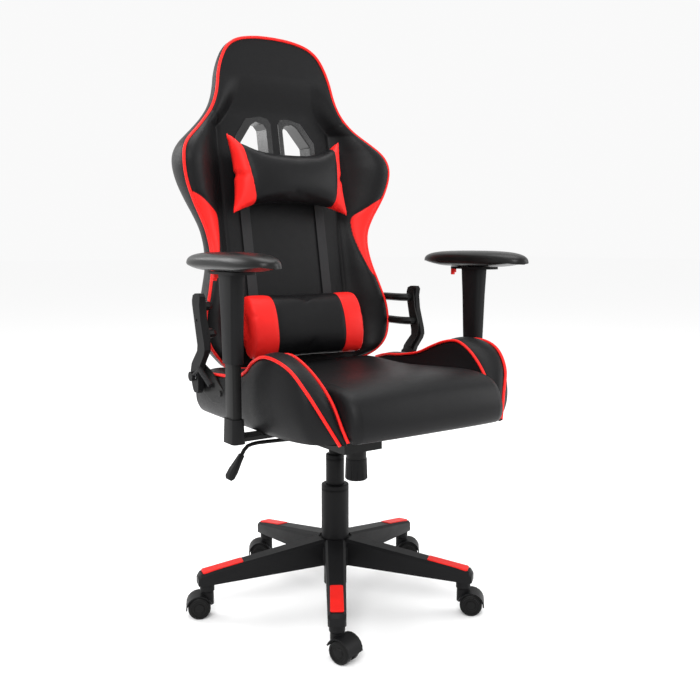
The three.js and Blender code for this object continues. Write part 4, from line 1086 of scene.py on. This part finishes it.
@dataclass
class Back:
    """The tall padded back: front cover, boxing, rear cover, piping and straps."""

    finishes: Finishes
    panel_y: float = 0.182
    panel_z: float = 0.670
    lean_deg: float = 10.2
    centre_half: float = 0.150
    piping_radius: float = 0.0033
    rear_inset: float = 0.021
    trim_width: float = 0.013
    trim_cover: float = 0.0105
    strap_place: float = 0.099
    strap_width: float = 0.024
    strap_thickness: float = 0.0014
    strap_foot: float = 0.560

    OUTLINE = (
        (0, 505), (70, 505), (130, 506), (165, 509), (190, 518), (206, 531), (220, 546), (232, 564),
        (239, 588), (240.5, 610),
        (237, 638), (228, 668), (219, 698), (211, 727), (207.5, 755), (207.5, 782), (213, 812),
        (226, 842), (242, 872), (256, 903), (264, 932), (266, 957), (262, 979), (251, 997), (234, 1013),
        (213, 1031), (190, 1053), (171, 1077), (158.5, 1102), (151, 1128), (146.5, 1152), (140, 1175),
        (131.5, 1195), (122, 1211), (107, 1226), (82, 1238), (42, 1245.5), (0, 1247.5),
    )
    REACH = (
        (505, -6), (513, 7), (530, 28), (548, 38), (600, 42), (660, 46), (720, 41), (770, 33.5), (810, 32),
        (850, 40), (900, 58), (955, 72), (985, 69), (1012, 58), (1050, 38), (1100, 31), (1250, 31),
    )
    DEPTH = ((505, 40), (540, 52), (650, 56), (1000, 56), (1120, 50), (1200, 42), (1250, 36))
    WING = ((0, 0), (0.2, 0.3), (0.45, 0.78), (0.66, 1.06), (0.82, 1.14), (0.93, 1.1), (1, 1))
    INSERT = (
        (252, 892), (228, 881), (203, 865), (184, 852), (175.5, 841), (174.5, 822), (177, 797), (185.5, 760),
        (200, 720), (214, 706), (250, 720), (300, 800),
    )
    PANEL_SEAM = (
        (150, 545), (150, 700), (151, 850), (153, 905), (152, 960), (147, 1005), (146, 1030), (150, 1048),
        (160, 1062), (174, 1072),
    )

    def panel(self, z: float) -> float:
        """Where the centre panel's front lies at a height."""
        return COLUMN_Y + self.panel_y + (z - self.panel_z) * math.tan(math.radians(self.lean_deg))

    def half_outline(self) -> list[Vector]:
        """The +X half of the piped outline, as x and z, from the bottom's middle to the top's."""
        points = [(x * MM, 0, z * MM) for x, z in self.OUTLINE]
        return spline(points, 261)

    def half_width(self, z: float) -> float:
        """Half the back's width at a height, within the outline's upright stretch."""
        return smooth_value([(b * MM, a * MM) for a, b in self.OUTLINE[3:-1]], z)

    def front_y(self, x: float, z: float, edge: float) -> float:
        """The front cover's depth.

        Args:
            x: The place across, in metres.
            z: The height, in metres.
            edge: The share of the way from the middle to the outline, 1 on it.

        Returns:
            The y of the surface.
        """
        w = max(self.half_width(z), 0.03)
        reach = smooth_value([(a * MM, b * MM) for a, b in self.REACH], z)
        inner = min(self.centre_half, w - 0.055)
        t = min(max((abs(x) - inner) / (w - inner), 0.0), 1.0)
        wing = smooth_value(self.WING, t)
        dish = 0.0008 * (1 - min(abs(x) / inner, 1) ** 2) if inner > 0 else 0.0
        low = self.panel(z) - reach * wing - dish
        crown = 0.006 * (1 - edge**2.6)
        high = self.panel(z) - reach - crown
        head = smooth_step(1.064, 1.165, z)
        foot = 1 - smooth_step(0.505, 0.560, z)
        y = mix(low, high, head)
        return y + foot * 0.010 * (1 - wing) * max(1 - t, 0)

    def rear_y(self, x: float, z: float, edge: float) -> float:
        """The rear cover's depth."""
        depth = smooth_value([(a * MM, b * MM) for a, b in self.DEPTH], z)
        return self.panel(z) + depth - 0.018 * edge**3

    def patch(self, inset: float) -> Place:
        """A map from the unit square to the outline, drawn in by inset: x and z only.

        Args:
            inset: How far the outline is drawn in.

        Returns:
            The map.
        """
        half = self.half_outline()
        low, high = 33, 216
        if inset:
            half = self.drawn_in(half, inset)
        side = half[low:high + 1]
        bottom = [Vector((-p.x, 0, p.z)) for p in half[low:0:-1]] + half[:low + 1]
        top = [Vector((-p.x, 0, p.z)) for p in half[high:-1]] + half[:high - 1:-1]
        corners = (side[0], side[-1])

        def at(line: list[Vector], t: float) -> Vector:
            """The point a share t along a line.

            Args:
                line: The line's points.
                t: The share.

            Returns:
                The point.
            """
            k = t * (len(line) - 1)
            i = min(int(k), len(line) - 2)
            return line[i].lerp(line[i + 1], k - i)

        def place(u: float, v: float) -> Vector:
            """The Coons patch between the four sides.

            Args:
                u: The share across, from 0 to 1.
                v: The share along or round, from 0 to 1.

            Returns:
                The point, in the plane of x and z.
            """
            right = at(side, v)
            left = Vector((-right.x, 0, right.z))
            floor, roof = at(bottom, u), at(top, u)
            a, b = corners
            straight = (
                Vector((mix(-a.x, a.x, u), 0, a.z)) * (1 - v) + Vector((mix(-b.x, b.x, u), 0, b.z)) * v
            )
            return left * (1 - u) + right * u + floor * (1 - v) + roof * v - straight

        return place

    @staticmethod
    def drawn_in(half: list[Vector], inset: float) -> list[Vector]:
        """The half outline moved inwards along its normals.

        Args:
            half: The +X half of the outline.
            inset: How far it moves.

        Returns:
            The moved half.
        """
        out = []
        for i, p in enumerate(half):
            before, after = half[max(i - 6, 0)], half[min(i + 6, len(half) - 1)]
            run = (after - before).normalized()
            normal = Vector((-run.z, 0, run.x))
            q = p + normal * inset
            if i in (0, len(half) - 1):
                q.x = 0
            out.append(q)
        return out

    def opening(self, margin: float) -> list[Pair]:
        """The outline of the +X opening in the back, widened by a margin.

        Args:
            margin: How much wider than the opening itself.

        Returns:
            The corners, as x and z.
        """
        low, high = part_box("opening_trim_left")
        wall = self.trim_width
        inner, outer = low.x + wall - margin, high.x - wall + margin
        bottom, top = low.z + wall - margin, high.z - wall + margin
        return [
            (inner, bottom + 0.010), (inner + 0.010, bottom), (outer - 0.012, bottom),
            (outer, bottom + 0.012), (outer - 0.001, top - 0.050), (outer - 0.032, top - 0.008),
            (inner + 0.026, top), (inner + 0.008, top - 0.004), (inner, top - 0.015),
        ]

    def cover(self) -> bpy.types.Object:
        """The whole cover: front, boxing and rear in one closed skin, open at the two slots.

        Returns:
            The piece.
        """
        across, along = 168, 232
        front, rear = self.patch(0.0), self.patch(self.rear_inset)

        def on_front(u: float, v: float) -> Vector:
            """A point of the front.

            Args:
                u: The share across, from 0 to 1.
                v: The share along or round, from 0 to 1.

            Returns:
                The point.
            """
            p = front(u, v)
            edge = max(abs(2 * u - 1), abs(2 * v - 1)) if v > 0.5 else abs(2 * u - 1)
            return Vector((p.x, self.front_y(p.x, p.z, edge), p.z))

        def on_rear(u: float, v: float) -> Vector:
            """A point of the rear."""
            p = rear(u, v)
            return Vector((p.x, self.rear_y(p.x, p.z, max(abs(2 * u - 1), abs(2 * v - 1))), p.z))

        mesh = bmesh.new()
        layers = tuple(mesh.verts.layers.float.new(name) for name in ("seam", "red"))
        draped_grid(across, along, on_front, mesh)
        front_faces = list(mesh.faces)
        self.dress_front(mesh, list(mesh.verts), layers)
        draped_grid(across // 2, along // 2, on_rear, mesh)
        rear_faces = mesh.faces[len(front_faces):]
        self.boxing(mesh, on_front, on_rear, across, along)
        self.cut_openings(mesh, front_faces, rear_faces, layers)
        bmesh.ops.remove_doubles(mesh, verts=mesh.verts, dist=1e-5)
        bmesh.ops.recalc_face_normals(mesh, faces=mesh.faces)
        piece = add_piece("back_cover", mesh, "back", self.finishes.back, Slot.BLACK_LEATHER, 75)
        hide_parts("back_cushion")
        return piece

    def boxing(self, mesh: Mesh, on_front: Place, on_rear: Place, across: int, along: int) -> None:
        """The strip between the piping and the rear cover, swelling gently.

        Args:
            mesh: The cover that it is added to.
            on_front: The front's surface.
            on_rear: The rear's surface.
            across: The front's cells across.
            along: The front's cells along.
        """

        def rim(place: Place, t: float) -> Vector:
            """A point a share t round the patch's four sides.

            Args:
                place: The patch.
                t: The share round it.

            Returns:
                The point.
            """
            k = (t % 1.0) * (2 * across + 2 * along)
            if k <= across:
                return place(k / across, 0)
            if k <= across + along:
                return place(1, (k - across) / along)
            if k <= 2 * across + along:
                return place(1 - (k - across - along) / across, 1)
            return place(0, 1 - (k - 2 * across - along) / along)

        count = 2 * across + 2 * along

        def place(u: float, v: float) -> Vector:
            """Round the rim by u, from front to rear by v.

            Args:
                u: The share across, from 0 to 1.
                v: The share along or round, from 0 to 1.

            Returns:
                The point of the boxing.
            """
            k = round(u * count)
            a, b = rim(on_front, k / count), rim(on_rear, k / count)
            ahead, behind = rim(on_front, (k + 2) / count), rim(on_front, (k - 2) / count)
            run = ahead - behind
            out = Vector((run.z, 0, -run.x)).normalized()
            p = a.lerp(b, v)
            swell = 0.0065 * math.sin(math.pi * v) ** 0.7
            turn = self.rear_inset * 0.55 * (math.sin(math.pi / 2 * (1 - v)) - (1 - v))
            return p + out * (swell + turn)

        draped_grid(count, 9, place, mesh)

    def dress_front(self, mesh: Mesh, verts: list[bmesh.types.BMVert], layers: Sequence[Layer]) -> None:
        """Sinks the seams and marks the red inserts.

        Args:
            mesh: The cover.
            verts: The front's points.
            layers: The seam and red layers.
        """
        places = np.array([(abs(v.co.x), v.co.z) for v in verts])
        insert = [(p.x, p.z) for p in spline([(x * MM, 0, z * MM) for x, z in self.INSERT[:10]], 60)]
        insert += [(x * MM, z * MM) for x, z in self.INSERT[10:]]
        panel = [(p.x, p.z) for p in spline([(x * MM, 0, z * MM) for x, z in self.PANEL_SEAM], 60)]
        seam = distance_to_lines(places, [panel, insert])
        inside = inside_loop(places, insert)
        edge = distance_to_lines(places, [insert])
        red = np.where(inside, edge, -edge)
        mesh.normal_update()
        for vert, gap in zip(verts, seam):
            sink = 0.0018 * math.exp(-((gap / 0.0034) ** 2))
            vert.co -= vert.normal * math.copysign(sink, -vert.normal.y)
        seam_layer, red_layer = layers
        for vert, gap, value in zip(verts, seam, red):
            vert[seam_layer] = float(gap)
            vert[red_layer] = float(value)

    def cut_openings(
        self,
        mesh: Mesh,
        front: list[bmesh.types.BMFace],
        rear: list[bmesh.types.BMFace],
        layers: Sequence[Layer],
    ) -> None:
        """Opens the two slots in the front and rear covers, under the trims' rims.

        Args:
            mesh: The cover.
            front: The front's faces.
            rear: The rear's faces.
            layers: The seam and red layers.
        """
        loop = self.opening(self.trim_cover)
        seam_layer, red_layer = layers
        fronts = set(front)
        for face in mesh.faces:
            if face not in fronts:
                for vert in face.verts:
                    if vert[seam_layer] == 0.0:
                        vert[seam_layer] = 0.5
                        vert[red_layer] = -0.5
        centres = [(f, f.calc_center_median()) for f in list(front) + list(rear)]
        places = np.array([(abs(c.x), c.z) for _, c in centres])
        hit = inside_loop(places, loop)
        doomed = [f for (f, _), inside in zip(centres, hit) if inside]
        bmesh.ops.delete(mesh, geom=doomed, context="FACES")

    def piping(self) -> bpy.types.Object:
        """The red piping round the front's edge.

        Returns:
            The piece.
        """
        half = self.half_outline()
        route = []
        for p in half[1:] + [Vector((-q.x, 0, q.z)) for q in half[-2:0:-1]]:
            route.append(Vector((p.x, self.front_y(p.x, p.z, 1.0) - 0.0005, p.z)))
        route = spline(route[::3], 420, closed=True)
        mesh = tube(route, self.piping_radius, closed=True)
        return add_piece("back_piping", mesh, "back", self.finishes.piping, Slot.RED_LEATHER)

    def strap(self, side: Side) -> bpy.types.Object:
        """One elastic strap, lying on the centre panel from the opening down behind the lumbar pillow.

        Args:
            side: The side it is on.

        Returns:
            The piece.
        """
        centre, width, thick = self.strap_place, self.strap_width, self.strap_thickness
        top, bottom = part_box("opening_trim_left")[0].z + 0.006, self.strap_foot
        stand_off = 0.0022

        def section(z: float) -> list[Vector]:
            """The strap's flat section at a height.

            Args:
                z: The height.

            Returns:
                The section's points.
            """
            ring = []
            for x, back in ((-0.5, 0), (-0.25, 0), (0, 0), (0.25, 0), (0.5, 0), (0.5, 1), (0, 1), (-0.5, 1)):
                place = (centre + x * width) * side.value
                y = self.front_y(place, z, 0.5) - stand_off - (0 if back else thick)
                ring.append(Vector((place, y, z)))
            return ring

        steps = 60
        mesh = loft([section(mix(bottom, top, k / steps)) for k in range(steps + 1)])
        name = "pillow_strap_" + side.word
        return add_piece(name, mesh, "back", self.finishes.webbing, Slot.BLACK_LEATHER, 50)

    def build(self) -> None:
        """Builds every piece of the back."""
        self.cover()
        self.piping()
        for side in Side:
            self.strap(side)
        log.info("back: cover, piping and straps")


# ---------- the pillows ----------


@dataclass
class Pillow:
    """A stuffed pillow that swells under cloth simulation."""

    name: str
    node: str
    body: str
    material: bpy.types.Material
    fill: float
    back: Back
    voxel: float = 0.005
    pressure: float = 4.0
    cap: float = 0.006

    def start(self) -> Mesh:
        """The shape before it swells."""
        raise NotImplementedError

    def finish(self, piece: bpy.types.Object) -> None:
        """Seams and gathers added after it swells."""

    def build(self) -> bpy.types.Object:
        """Builds the pillow.

        Returns:
            The piece.
        """
        mesh = close_up(self.start(), 1e-4)
        piece = add_piece(self.name, mesh, self.body, self.material, Slot.RED_LEATHER, 80)
        swell(piece, self.voxel, self.pressure, self.cap)
        self.finish(piece)
        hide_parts(self.node)
        log.info("%s: %d points", self.name, len(piece.data.vertices))
        return piece


SWELL_FRAMES = 20


def swell(piece: bpy.types.Object, voxel: float, pressure: float, cap: float) -> None:
    """Blows a padded piece up from inside as cloth, and keeps the result in its mesh.

    Args:
        piece: The piece, at the origin.
        voxel: The remesh size, in metres.
        pressure: The cloth's inner pressure.
        cap: The furthest that any point may move, in metres.
    """
    scene = bpy.context.scene
    material = piece.data.materials[0]
    work = bpy.data.objects.new("swelling", piece.data.copy())
    scene.collection.objects.link(work)
    remesh = work.modifiers.new("remesh", "REMESH")
    remesh.mode = "VOXEL"
    remesh.voxel_size = voxel
    bpy.context.view_layer.update()
    depsgraph = bpy.context.evaluated_depsgraph_get()
    even = bpy.data.meshes.new_from_object(work.evaluated_get(depsgraph))
    work.modifiers.clear()
    work.data = even
    start = np.array([v.co for v in even.vertices])
    cloth = work.modifiers.new("cloth", "CLOTH")
    cloth.settings.use_pressure = True
    cloth.settings.uniform_pressure_force = pressure
    cloth.settings.effector_weights.gravity = 0
    cloth.settings.quality = 5
    cloth.settings.mass = 0.3
    cloth.settings.tension_stiffness = 15
    cloth.settings.compression_stiffness = 15
    cloth.settings.bending_stiffness = 0.5
    cloth.point_cache.frame_start = 1
    cloth.point_cache.frame_end = SWELL_FRAMES
    for number in range(1, SWELL_FRAMES + 1):
        scene.frame_set(number)
    depsgraph = bpy.context.evaluated_depsgraph_get()
    shaped = bpy.data.meshes.new_from_object(work.evaluated_get(depsgraph))
    end = np.array([v.co for v in shaped.vertices])
    scene.frame_set(1)
    move = end - start
    length = np.linalg.norm(move, axis=1)
    scale = cap * np.tanh(length / cap) / np.maximum(length, 1e-9)
    place = start + move * scale[:, None]
    for vert, co in zip(shaped.vertices, place):
        vert.co = co
    bpy.data.objects.remove(work)
    shaped.materials.clear()
    shaped.materials.append(material)
    mesh = bmesh.new()
    mesh.from_mesh(shaped)
    axes = {"use_axis_x": True, "use_axis_y": True, "use_axis_z": True}
    bmesh.ops.smooth_vert(mesh, verts=mesh.verts, factor=0.4, **axes)
    for face in mesh.faces:
        face.smooth = True
    mesh.to_mesh(shaped)
    mesh.free()
    piece.data = shaped
    fine = piece.modifiers.new("fine", "SUBSURF")
    fine.levels = 1
    fine.render_levels = 1


@dataclass
class HeadPillow(Pillow):
    """A bow-tie pillow with scarlet ends drawn out to four corners."""

    half: float = 0.155
    middle: float = 0.930
    half_depth: float = 0.040
    end_seam: float = 0.110
    end_height: float = 0.92
    end_slope: float = 0.15

    def start(self) -> Mesh:
        """Two faces that meet in a seam all round, pinched at the ends.

        Returns:
            The shape.
        """
        centre_y = self.back.panel(self.middle) - 0.0045 - self.half_depth
        lean = math.tan(math.radians(self.back.lean_deg))

        def place(u: float, v: float) -> Vector:
            """Across by u, round by v.

            Args:
                u: The share across, from 0 to 1.
                v: The share along or round, from 0 to 1.

            Returns:
                The point.
            """
            s = math.sin((u - 0.5) * math.pi)
            a = abs(s)
            top = 0.985 + 0.042 * a**2.8
            bottom = 0.868 - 0.026 * a**2.8
            middle, half = (top + bottom) / 2, (top - bottom) / 2
            angle = 2 * math.pi * v
            q = math.sin(angle)
            z = middle + half * math.copysign(abs(q) ** 0.9, q)
            depth = self.half_depth * (1 - a**3.0) ** 0.75 + 0.003
            round_off = math.copysign(abs(math.cos(angle)) ** 0.85, math.cos(angle))
            x = self.half * s - math.copysign(0.012, s) * a**4 * (1 - q * q)
            return Vector((x, centre_y + depth * round_off + (z - self.middle) * lean, z))

        mesh = draped_grid(72, 96, place)
        return mesh

    def finish(self, piece: bpy.types.Object) -> None:
        """Marks the seams between the ends and the middle, and the crease across each end.

        Args:
            piece: The pillow.
        """
        data = piece.data
        co = np.array([v.co for v in data.vertices])
        gap = np.abs(np.abs(co[:, 0]) - (self.end_seam + self.end_slope * (co[:, 2] - self.end_height)))
        ends = np.clip((np.abs(co[:, 0]) - 0.112) / 0.02, 0, 1)
        crease = np.exp(-(((co[:, 2] - 0.931) / 0.005) ** 2)) * ends
        normals = np.array([v.normal for v in data.vertices])
        sink = 0.0022 * np.exp(-((gap / 0.004) ** 2)) + 0.006 * crease
        co -= normals * sink[:, None]
        data.vertices.foreach_set("co", co.ravel())
        write_attribute(data, "seam", gap)


@dataclass
class LumbarPillow(Pillow):
    """A round pillow with a scarlet band towards each gathered end."""

    half: float = 0.143
    middle: float = 0.600
    half_height: float = 0.0725
    half_depth: float = 0.0385
    band_seam: float = 0.088

    def start(self) -> Mesh:
        """A barrel whose ends are drawn in.

        Returns:
            The shape.
        """
        centre_y = self.back.panel(self.middle) - 0.0045 - self.half_depth
        lean = math.tan(math.radians(self.back.lean_deg))

        def place(u: float, v: float) -> Vector:
            """Across by u, round by v.

            Args:
                u: The share across, from 0 to 1.
                v: The share along or round, from 0 to 1.

            Returns:
                The point.
            """
            s = 2 * u - 1
            a = abs(s)
            body = 0.86
            if a < body:
                x = self.half * s / body
                scale = 1 - 0.05 * (a / body) ** 4
            else:
                t = (a - body) / (1 - body)
                bulge = math.sin(min(t * 1.6, 1) * math.pi / 2)
                x = math.copysign(self.half - 0.010 * (1 - math.cos(t * math.pi / 2)) + 0.004 * bulge, s)
                scale = 0.95 * (1 - t) ** 0.75
            angle = 2 * math.pi * v
            gather = 0.0
            if a > 0.72:
                pull = smooth_step(0.72, 0.9, a)
                gather = 0.018 * pull * math.sin(17 * angle + 2 * math.sin(3 * angle))
            r = scale * (1 + gather)
            z = self.half_height * r * math.copysign(abs(math.sin(angle)) ** 0.92, math.sin(angle))
            y = self.half_depth * r * math.copysign(abs(math.cos(angle)) ** 0.86, math.cos(angle))
            return Vector((x, centre_y + y + z * lean, self.middle + z))

        return draped_grid(96, 144, place)

    def finish(self, piece: bpy.types.Object) -> None:
        """Marks the seams beside the bands.

        Args:
            piece: The pillow.
        """
        data = piece.data
        co = np.array([v.co for v in data.vertices])
        across = np.abs(co[:, 0])
        gap = np.abs(across - self.band_seam)
        normals = np.array([v.normal for v in data.vertices])
        co -= normals * (0.002 * np.exp(-((gap / 0.0035) ** 2)))[:, None]
        data.vertices.foreach_set("co", co.ravel())
        write_attribute(data, "seam", gap)


def write_attribute(data: bpy.types.Mesh, name: str, values: np.ndarray) -> None:
    """Stores one number per point on a finished mesh."""
    layer = data.attributes.get(name) or data.attributes.new(name, "FLOAT", "POINT")
    layer.data.foreach_set("value", values.astype(np.float32))


# ---------- the armrests ----------


@dataclass
class Armrest:
    """One armrest's pad and its hard parts."""

    finishes: Finishes
    side: Side

    def pad(self) -> bpy.types.Object:
        """The long pad, round-nosed, crowned on top and undercut at both ends.

        Returns:
            The piece.
        """
        low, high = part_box("arm_pad_left")
        centre = (low + high) / 2
        length, width = (high.y - low.y) / 2 + 0.0005, (high.x - low.x) / 2
        bottom, top = low.z + 0.0003, high.z + 0.003

        def place(u: float, v: float) -> Vector:
            """Along the pad by u, round the section by v.

            Args:
                u: The share across, from 0 to 1.
                v: The share along or round, from 0 to 1.

            Returns:
                The point.
            """
            s = -math.cos(math.pi * u)
            half = width * (1 - abs(s) ** 3.4) ** 0.42 * (1 - 0.02 * s)
            angle = 2 * math.pi * v
            c, q = math.cos(angle), math.sin(angle)
            x = half * math.copysign(abs(c) ** 0.72, c)
            nose = (1 - abs(s) ** 5) ** 0.5
            middle = mix(bottom, top, 0.46) - 0.0035 * s * s + 0.002 * s
            if q > 0:
                z = middle + (top - middle) * abs(q) ** 0.8 * (0.28 + 0.72 * nose) - 0.004 * s * s
            else:
                under = (middle - bottom) * abs(q) ** 0.6 * (0.15 + 0.85 * nose)
                z = middle - under + 0.006 * smooth_step(0.45, 0.95, abs(s)) * abs(q)
            return Vector((centre.x + x, centre.y + length * s, z))

        mesh = draped_grid(84, 64, place)
        if self.side is Side.RIGHT:
            bmesh.ops.transform(mesh, matrix=Matrix.Scale(-1, 4, (1, 0, 0)), verts=mesh.verts)
        close_up(mesh, 1e-4)
        name = "arm_pad_" + self.side.word
        body = "arm_" + self.side.word
        piece = add_piece(name + "_skin", mesh, body, self.finishes.foam, Slot.BLACK_FOAM, 60)
        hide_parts(name)
        return piece

    def build(self) -> None:
        """Builds the armrest."""
        self.pad()
        for node, material, bevel in (
            ("arm_sleeve", self.finishes.nylon, 0.0014),
            ("arm_foot", self.finishes.nylon, 0.0014),
            ("arm_bracket", self.finishes.coat, 0.0009),
            ("arm_trigger", self.finishes.red, 0.0012),
        ):
            refine(f"{node}_{self.side.word}", material, bevel)
        log.info("armrest %s", self.side.word)


# ---------- the hard parts ----------


@dataclass
class Column:
    """The gas lift's covers, turned smooth."""

    finishes: Finishes

    def ring(self, node: str, wall: float, lip: float, lip_height: float, groove: bool) -> bpy.types.Object:
        """A smooth cover tube.

        Args:
            node: The CAD node it stands for.
            wall: Its wall.
            lip: The radius of the hole in its top.
            lip_height: The depth of the top's lip.
            groove: Whether a fine line runs round below the top.

        Returns:
            The piece.
        """
        low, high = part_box(node)
        radius = (high.x - low.x) / 2
        inner = radius - wall
        profile = [(inner, low.z), (radius - 0.0006, low.z), (radius, low.z + 0.0008)]
        if groove:
            for height in (0.010, 0.0125):
                z = high.z - height
                profile += [(radius, z - 0.0006), (radius - 0.0007, z), (radius, z + 0.0006)]
        profile += [(radius, high.z - 0.0022), (radius - 0.0006, high.z - 0.0008), (radius - 0.002, high.z)]
        profile += [(lip, high.z), (lip, high.z - lip_height), (inner, high.z - lip_height)]
        mesh = turned(profile, Vector((0, COLUMN_Y, 0)), Vector((0, 0, 1)), 96)
        piece = add_piece(
            node + "_shell", mesh, frame["nodes"][node]["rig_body"], self.finishes.nylon, Slot.NYLON, 30
        )
        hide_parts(node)
        return piece

    def build(self) -> None:
        """Builds the covers and finishes the hard parts inside."""
        self.ring("lower_cover", 0.004, 0.0208, 0.0055, True)
        self.ring("cover_sleeve", 0.0025, 0.0143, 0.004, True)
        refine("gas_cylinder", self.finishes.coat, 0)
        refine("lift_column", self.finishes.coat, 0)
        log.info("column")


@dataclass
class Casters:
    """The five twin-wheel casters."""

    finishes: Finishes

    def wheel_pair(self, number: int) -> bpy.types.Object:
        """Two smooth wheels with dished hubs on one axle.

        Args:
            number: Which caster.

        Returns:
            The piece.
        """
        node = f"caster_wheels_{number}"
        joint = next(j for j in frame["joints"] if j["name"] == f"caster_{number}_roll")
        centre, axis = Vector(joint["pos_m"]), Vector(joint["axis"])
        radius, inner, outer = centre.z, 0.0038, 0.0213
        half = [
            (0.003, inner), (radius - 0.004, inner), (radius - 0.0012, inner + 0.0006),
            (radius, inner + 0.003), (radius, outer - 0.0055), (radius - 0.0008, outer - 0.003),
            (radius - 0.003, outer - 0.0012), (radius - 0.006, outer - 0.0008),
            (radius - 0.0068, outer - 0.0022), (0.011, outer - 0.0026), (0.0095, outer - 0.0008),
            (0.004, outer - 0.0004), (0.0, outer - 0.0004),
        ]
        profile = [(r, -h) for r, h in reversed(half)] + half
        mesh = turned(profile, centre, axis, 56)
        piece = add_piece(
            node + "_tyres", mesh, f"wheels_{number}", self.finishes.tread, Slot.NYLON, 32
        )
        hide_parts(node)
        return piece

    def build(self) -> None:
        """Builds every caster."""
        for number in range(1, 6):
            self.wheel_pair(number)
            refine(f"caster_fork_{number}", self.finishes.nylon, 0.0007)
        log.info("casters")


@dataclass
class HardParts:
    """The moulded and pressed parts, kept in shape with their edges rounded."""

    finishes: Finishes

    def build(self) -> None:
        """Finishes each one."""
        f = self.finishes
        refine("base_star", f.nylon, 0.0016, 3)
        for number in range(1, 6):
            refine(f"leg_insert_{number}", f.red, 0.0009, 3)
        for node, material, bevel in (
            ("mechanism_housing", f.coat, 0.0009), ("seat_plate", f.coat, 0.0008),
            ("seat_pan", f.coat, 0.001), ("tension_knob", f.nylon, 0.0008),
            ("lever_block", f.nylon, 0.0008), ("height_lever", f.coat, 0),
            ("lever_grip", f.nylon, 0.0008), ("back_frame", f.coat, 0),
            ("recline_lever", f.nylon, 0.0006), ("tilt_pin", f.zinc, 0),
        ):
            refine(node, material, bevel)
        for side in Side:
            refine("opening_trim_" + side.word, f.bezel, 0.0022, 3)
            refine("recline_cover_" + side.word, f.nylon, 0.0016, 3)
            refine("recline_plate_" + side.word, f.coat, 0.0007)
            refine("recline_pin_" + side.word, f.zinc, 0.0004)
        self.dress_inner()
        log.info("hard parts")

    def dress_inner(self) -> None:
        """Gives the CAD nodes that stay their finishes."""
        plain = {
            "thrust_bearing": self.finishes.zinc, "guide_bushing": self.finishes.nylon,
            "piston_rod": self.finishes.zinc, "tension_spring": self.finishes.zinc,
            "return_spring": self.finishes.zinc,
        }
        for node, material in plain.items():
            data = frame["nodes"][node].data
            data.materials.clear()
            data.materials.append(material)


# ---------- the studio ----------


@dataclass
class Studio:
    """A pale floor, soft lights and the camera."""

    camera_at: tuple[float, float, float] = (-1.0123, -1.4989, 0.7803)
    azimuth_deg: float = -35.07
    pitch_deg: float = 7.11
    lens: float = 43.6

    def floor(self) -> None:
        """A wide pale floor."""

        def place(u: float, v: float) -> Vector:
            """Across by u and back by v."""
            return Vector((mix(-40.0, 40.0, u), mix(-40.0, 40.0, v), 0))

        mesh = draped_grid(8, 8, place)
        data = bpy.data.meshes.new("studio_floor")
        for face in mesh.faces:
            face.smooth = True
        mesh.to_mesh(data)
        mesh.free()
        shader = Shader("studio_floor")
        shader.set(Base_Color=(0.99, 0.99, 0.99), Roughness=0.9, Specular_IOR_Level=0.0)
        data.materials.append(shader.material)
        floor = bpy.data.objects.new("studio_floor", data)
        bpy.context.scene.collection.objects.link(floor)

    def light(self, name: str, at: Sequence[float], size: float, power: float) -> None:
        """A square soft light aimed at the chair's middle.

        Args:
            name: The lamp's name.
            at: Its place.
            size: Its side, in metres.
            power: Its power, in watts.
        """
        data = bpy.data.lights.new(name, "AREA")
        data.shape = "SQUARE"
        data.size = size
        data.energy = power
        lamp = bpy.data.objects.new(name, data)
        lamp.location = at
        aim = Vector((0, 0, 0.7)) - Vector(at)
        lamp.rotation_euler = aim.to_track_quat("-Z", "Y").to_euler()
        bpy.context.scene.collection.objects.link(lamp)

    def build(self) -> None:
        """Sets the stage."""
        scene = bpy.context.scene
        data = bpy.data.cameras.new("camera")
        data.lens = self.lens
        data.sensor_width = 36
        camera = bpy.data.objects.new("camera", data)
        azimuth, pitch = math.radians(self.azimuth_deg), math.radians(self.pitch_deg)
        look = Vector((
            -math.sin(azimuth) * math.cos(pitch), math.cos(azimuth) * math.cos(pitch), -math.sin(pitch)
        ))
        camera.location = Vector(self.camera_at) + Vector((0, COLUMN_Y, 0))
        camera.rotation_euler = look.to_track_quat("-Z", "Y").to_euler()
        scene.collection.objects.link(camera)
        scene.camera = camera
        scene.view_settings.view_transform = "Standard"
        self.floor()
        world = bpy.data.worlds.new("studio")
        world.use_nodes = True
        background = world.node_tree.nodes["Background"]
        background.inputs["Color"].default_value = (1, 1, 1, 1)
        background.inputs["Strength"].default_value = 0.95
        scene.world = world
        self.light("key", (-2.2, -2.4, 3.0), 1.8, 95)
        self.light("fill", (2.8, -1.8, 1.7), 1.8, 42)
        self.light("top", (0.2, 0.3, 3.4), 2.2, 60)
        self.light("rim", (-1.6, 2.4, 2.0), 1.4, 35)
        log.info("studio")


def main() -> None:
    """Builds the chair and its studio, in order."""
    logging.basicConfig(level=logging.INFO, format="%(name)s %(message)s")
    Studio().build()
    finishes = Finishes()
    Seat(finishes).build()
    back = Back(finishes)
    back.build()
    HeadPillow("head_pillow_cover", "head_pillow", "head_rest", finishes.head, 0.8, back).build()
    LumbarPillow("lumbar_pillow_cover", "lumbar_pillow", "lumbar_rest", finishes.lumbar, 0.85, back).build()
    for side in Side:
        Armrest(finishes, side).build()
    Column(finishes).build()
    Casters(finishes).build()
    HardParts(finishes).build()


if __name__ == "__main__":
    main()
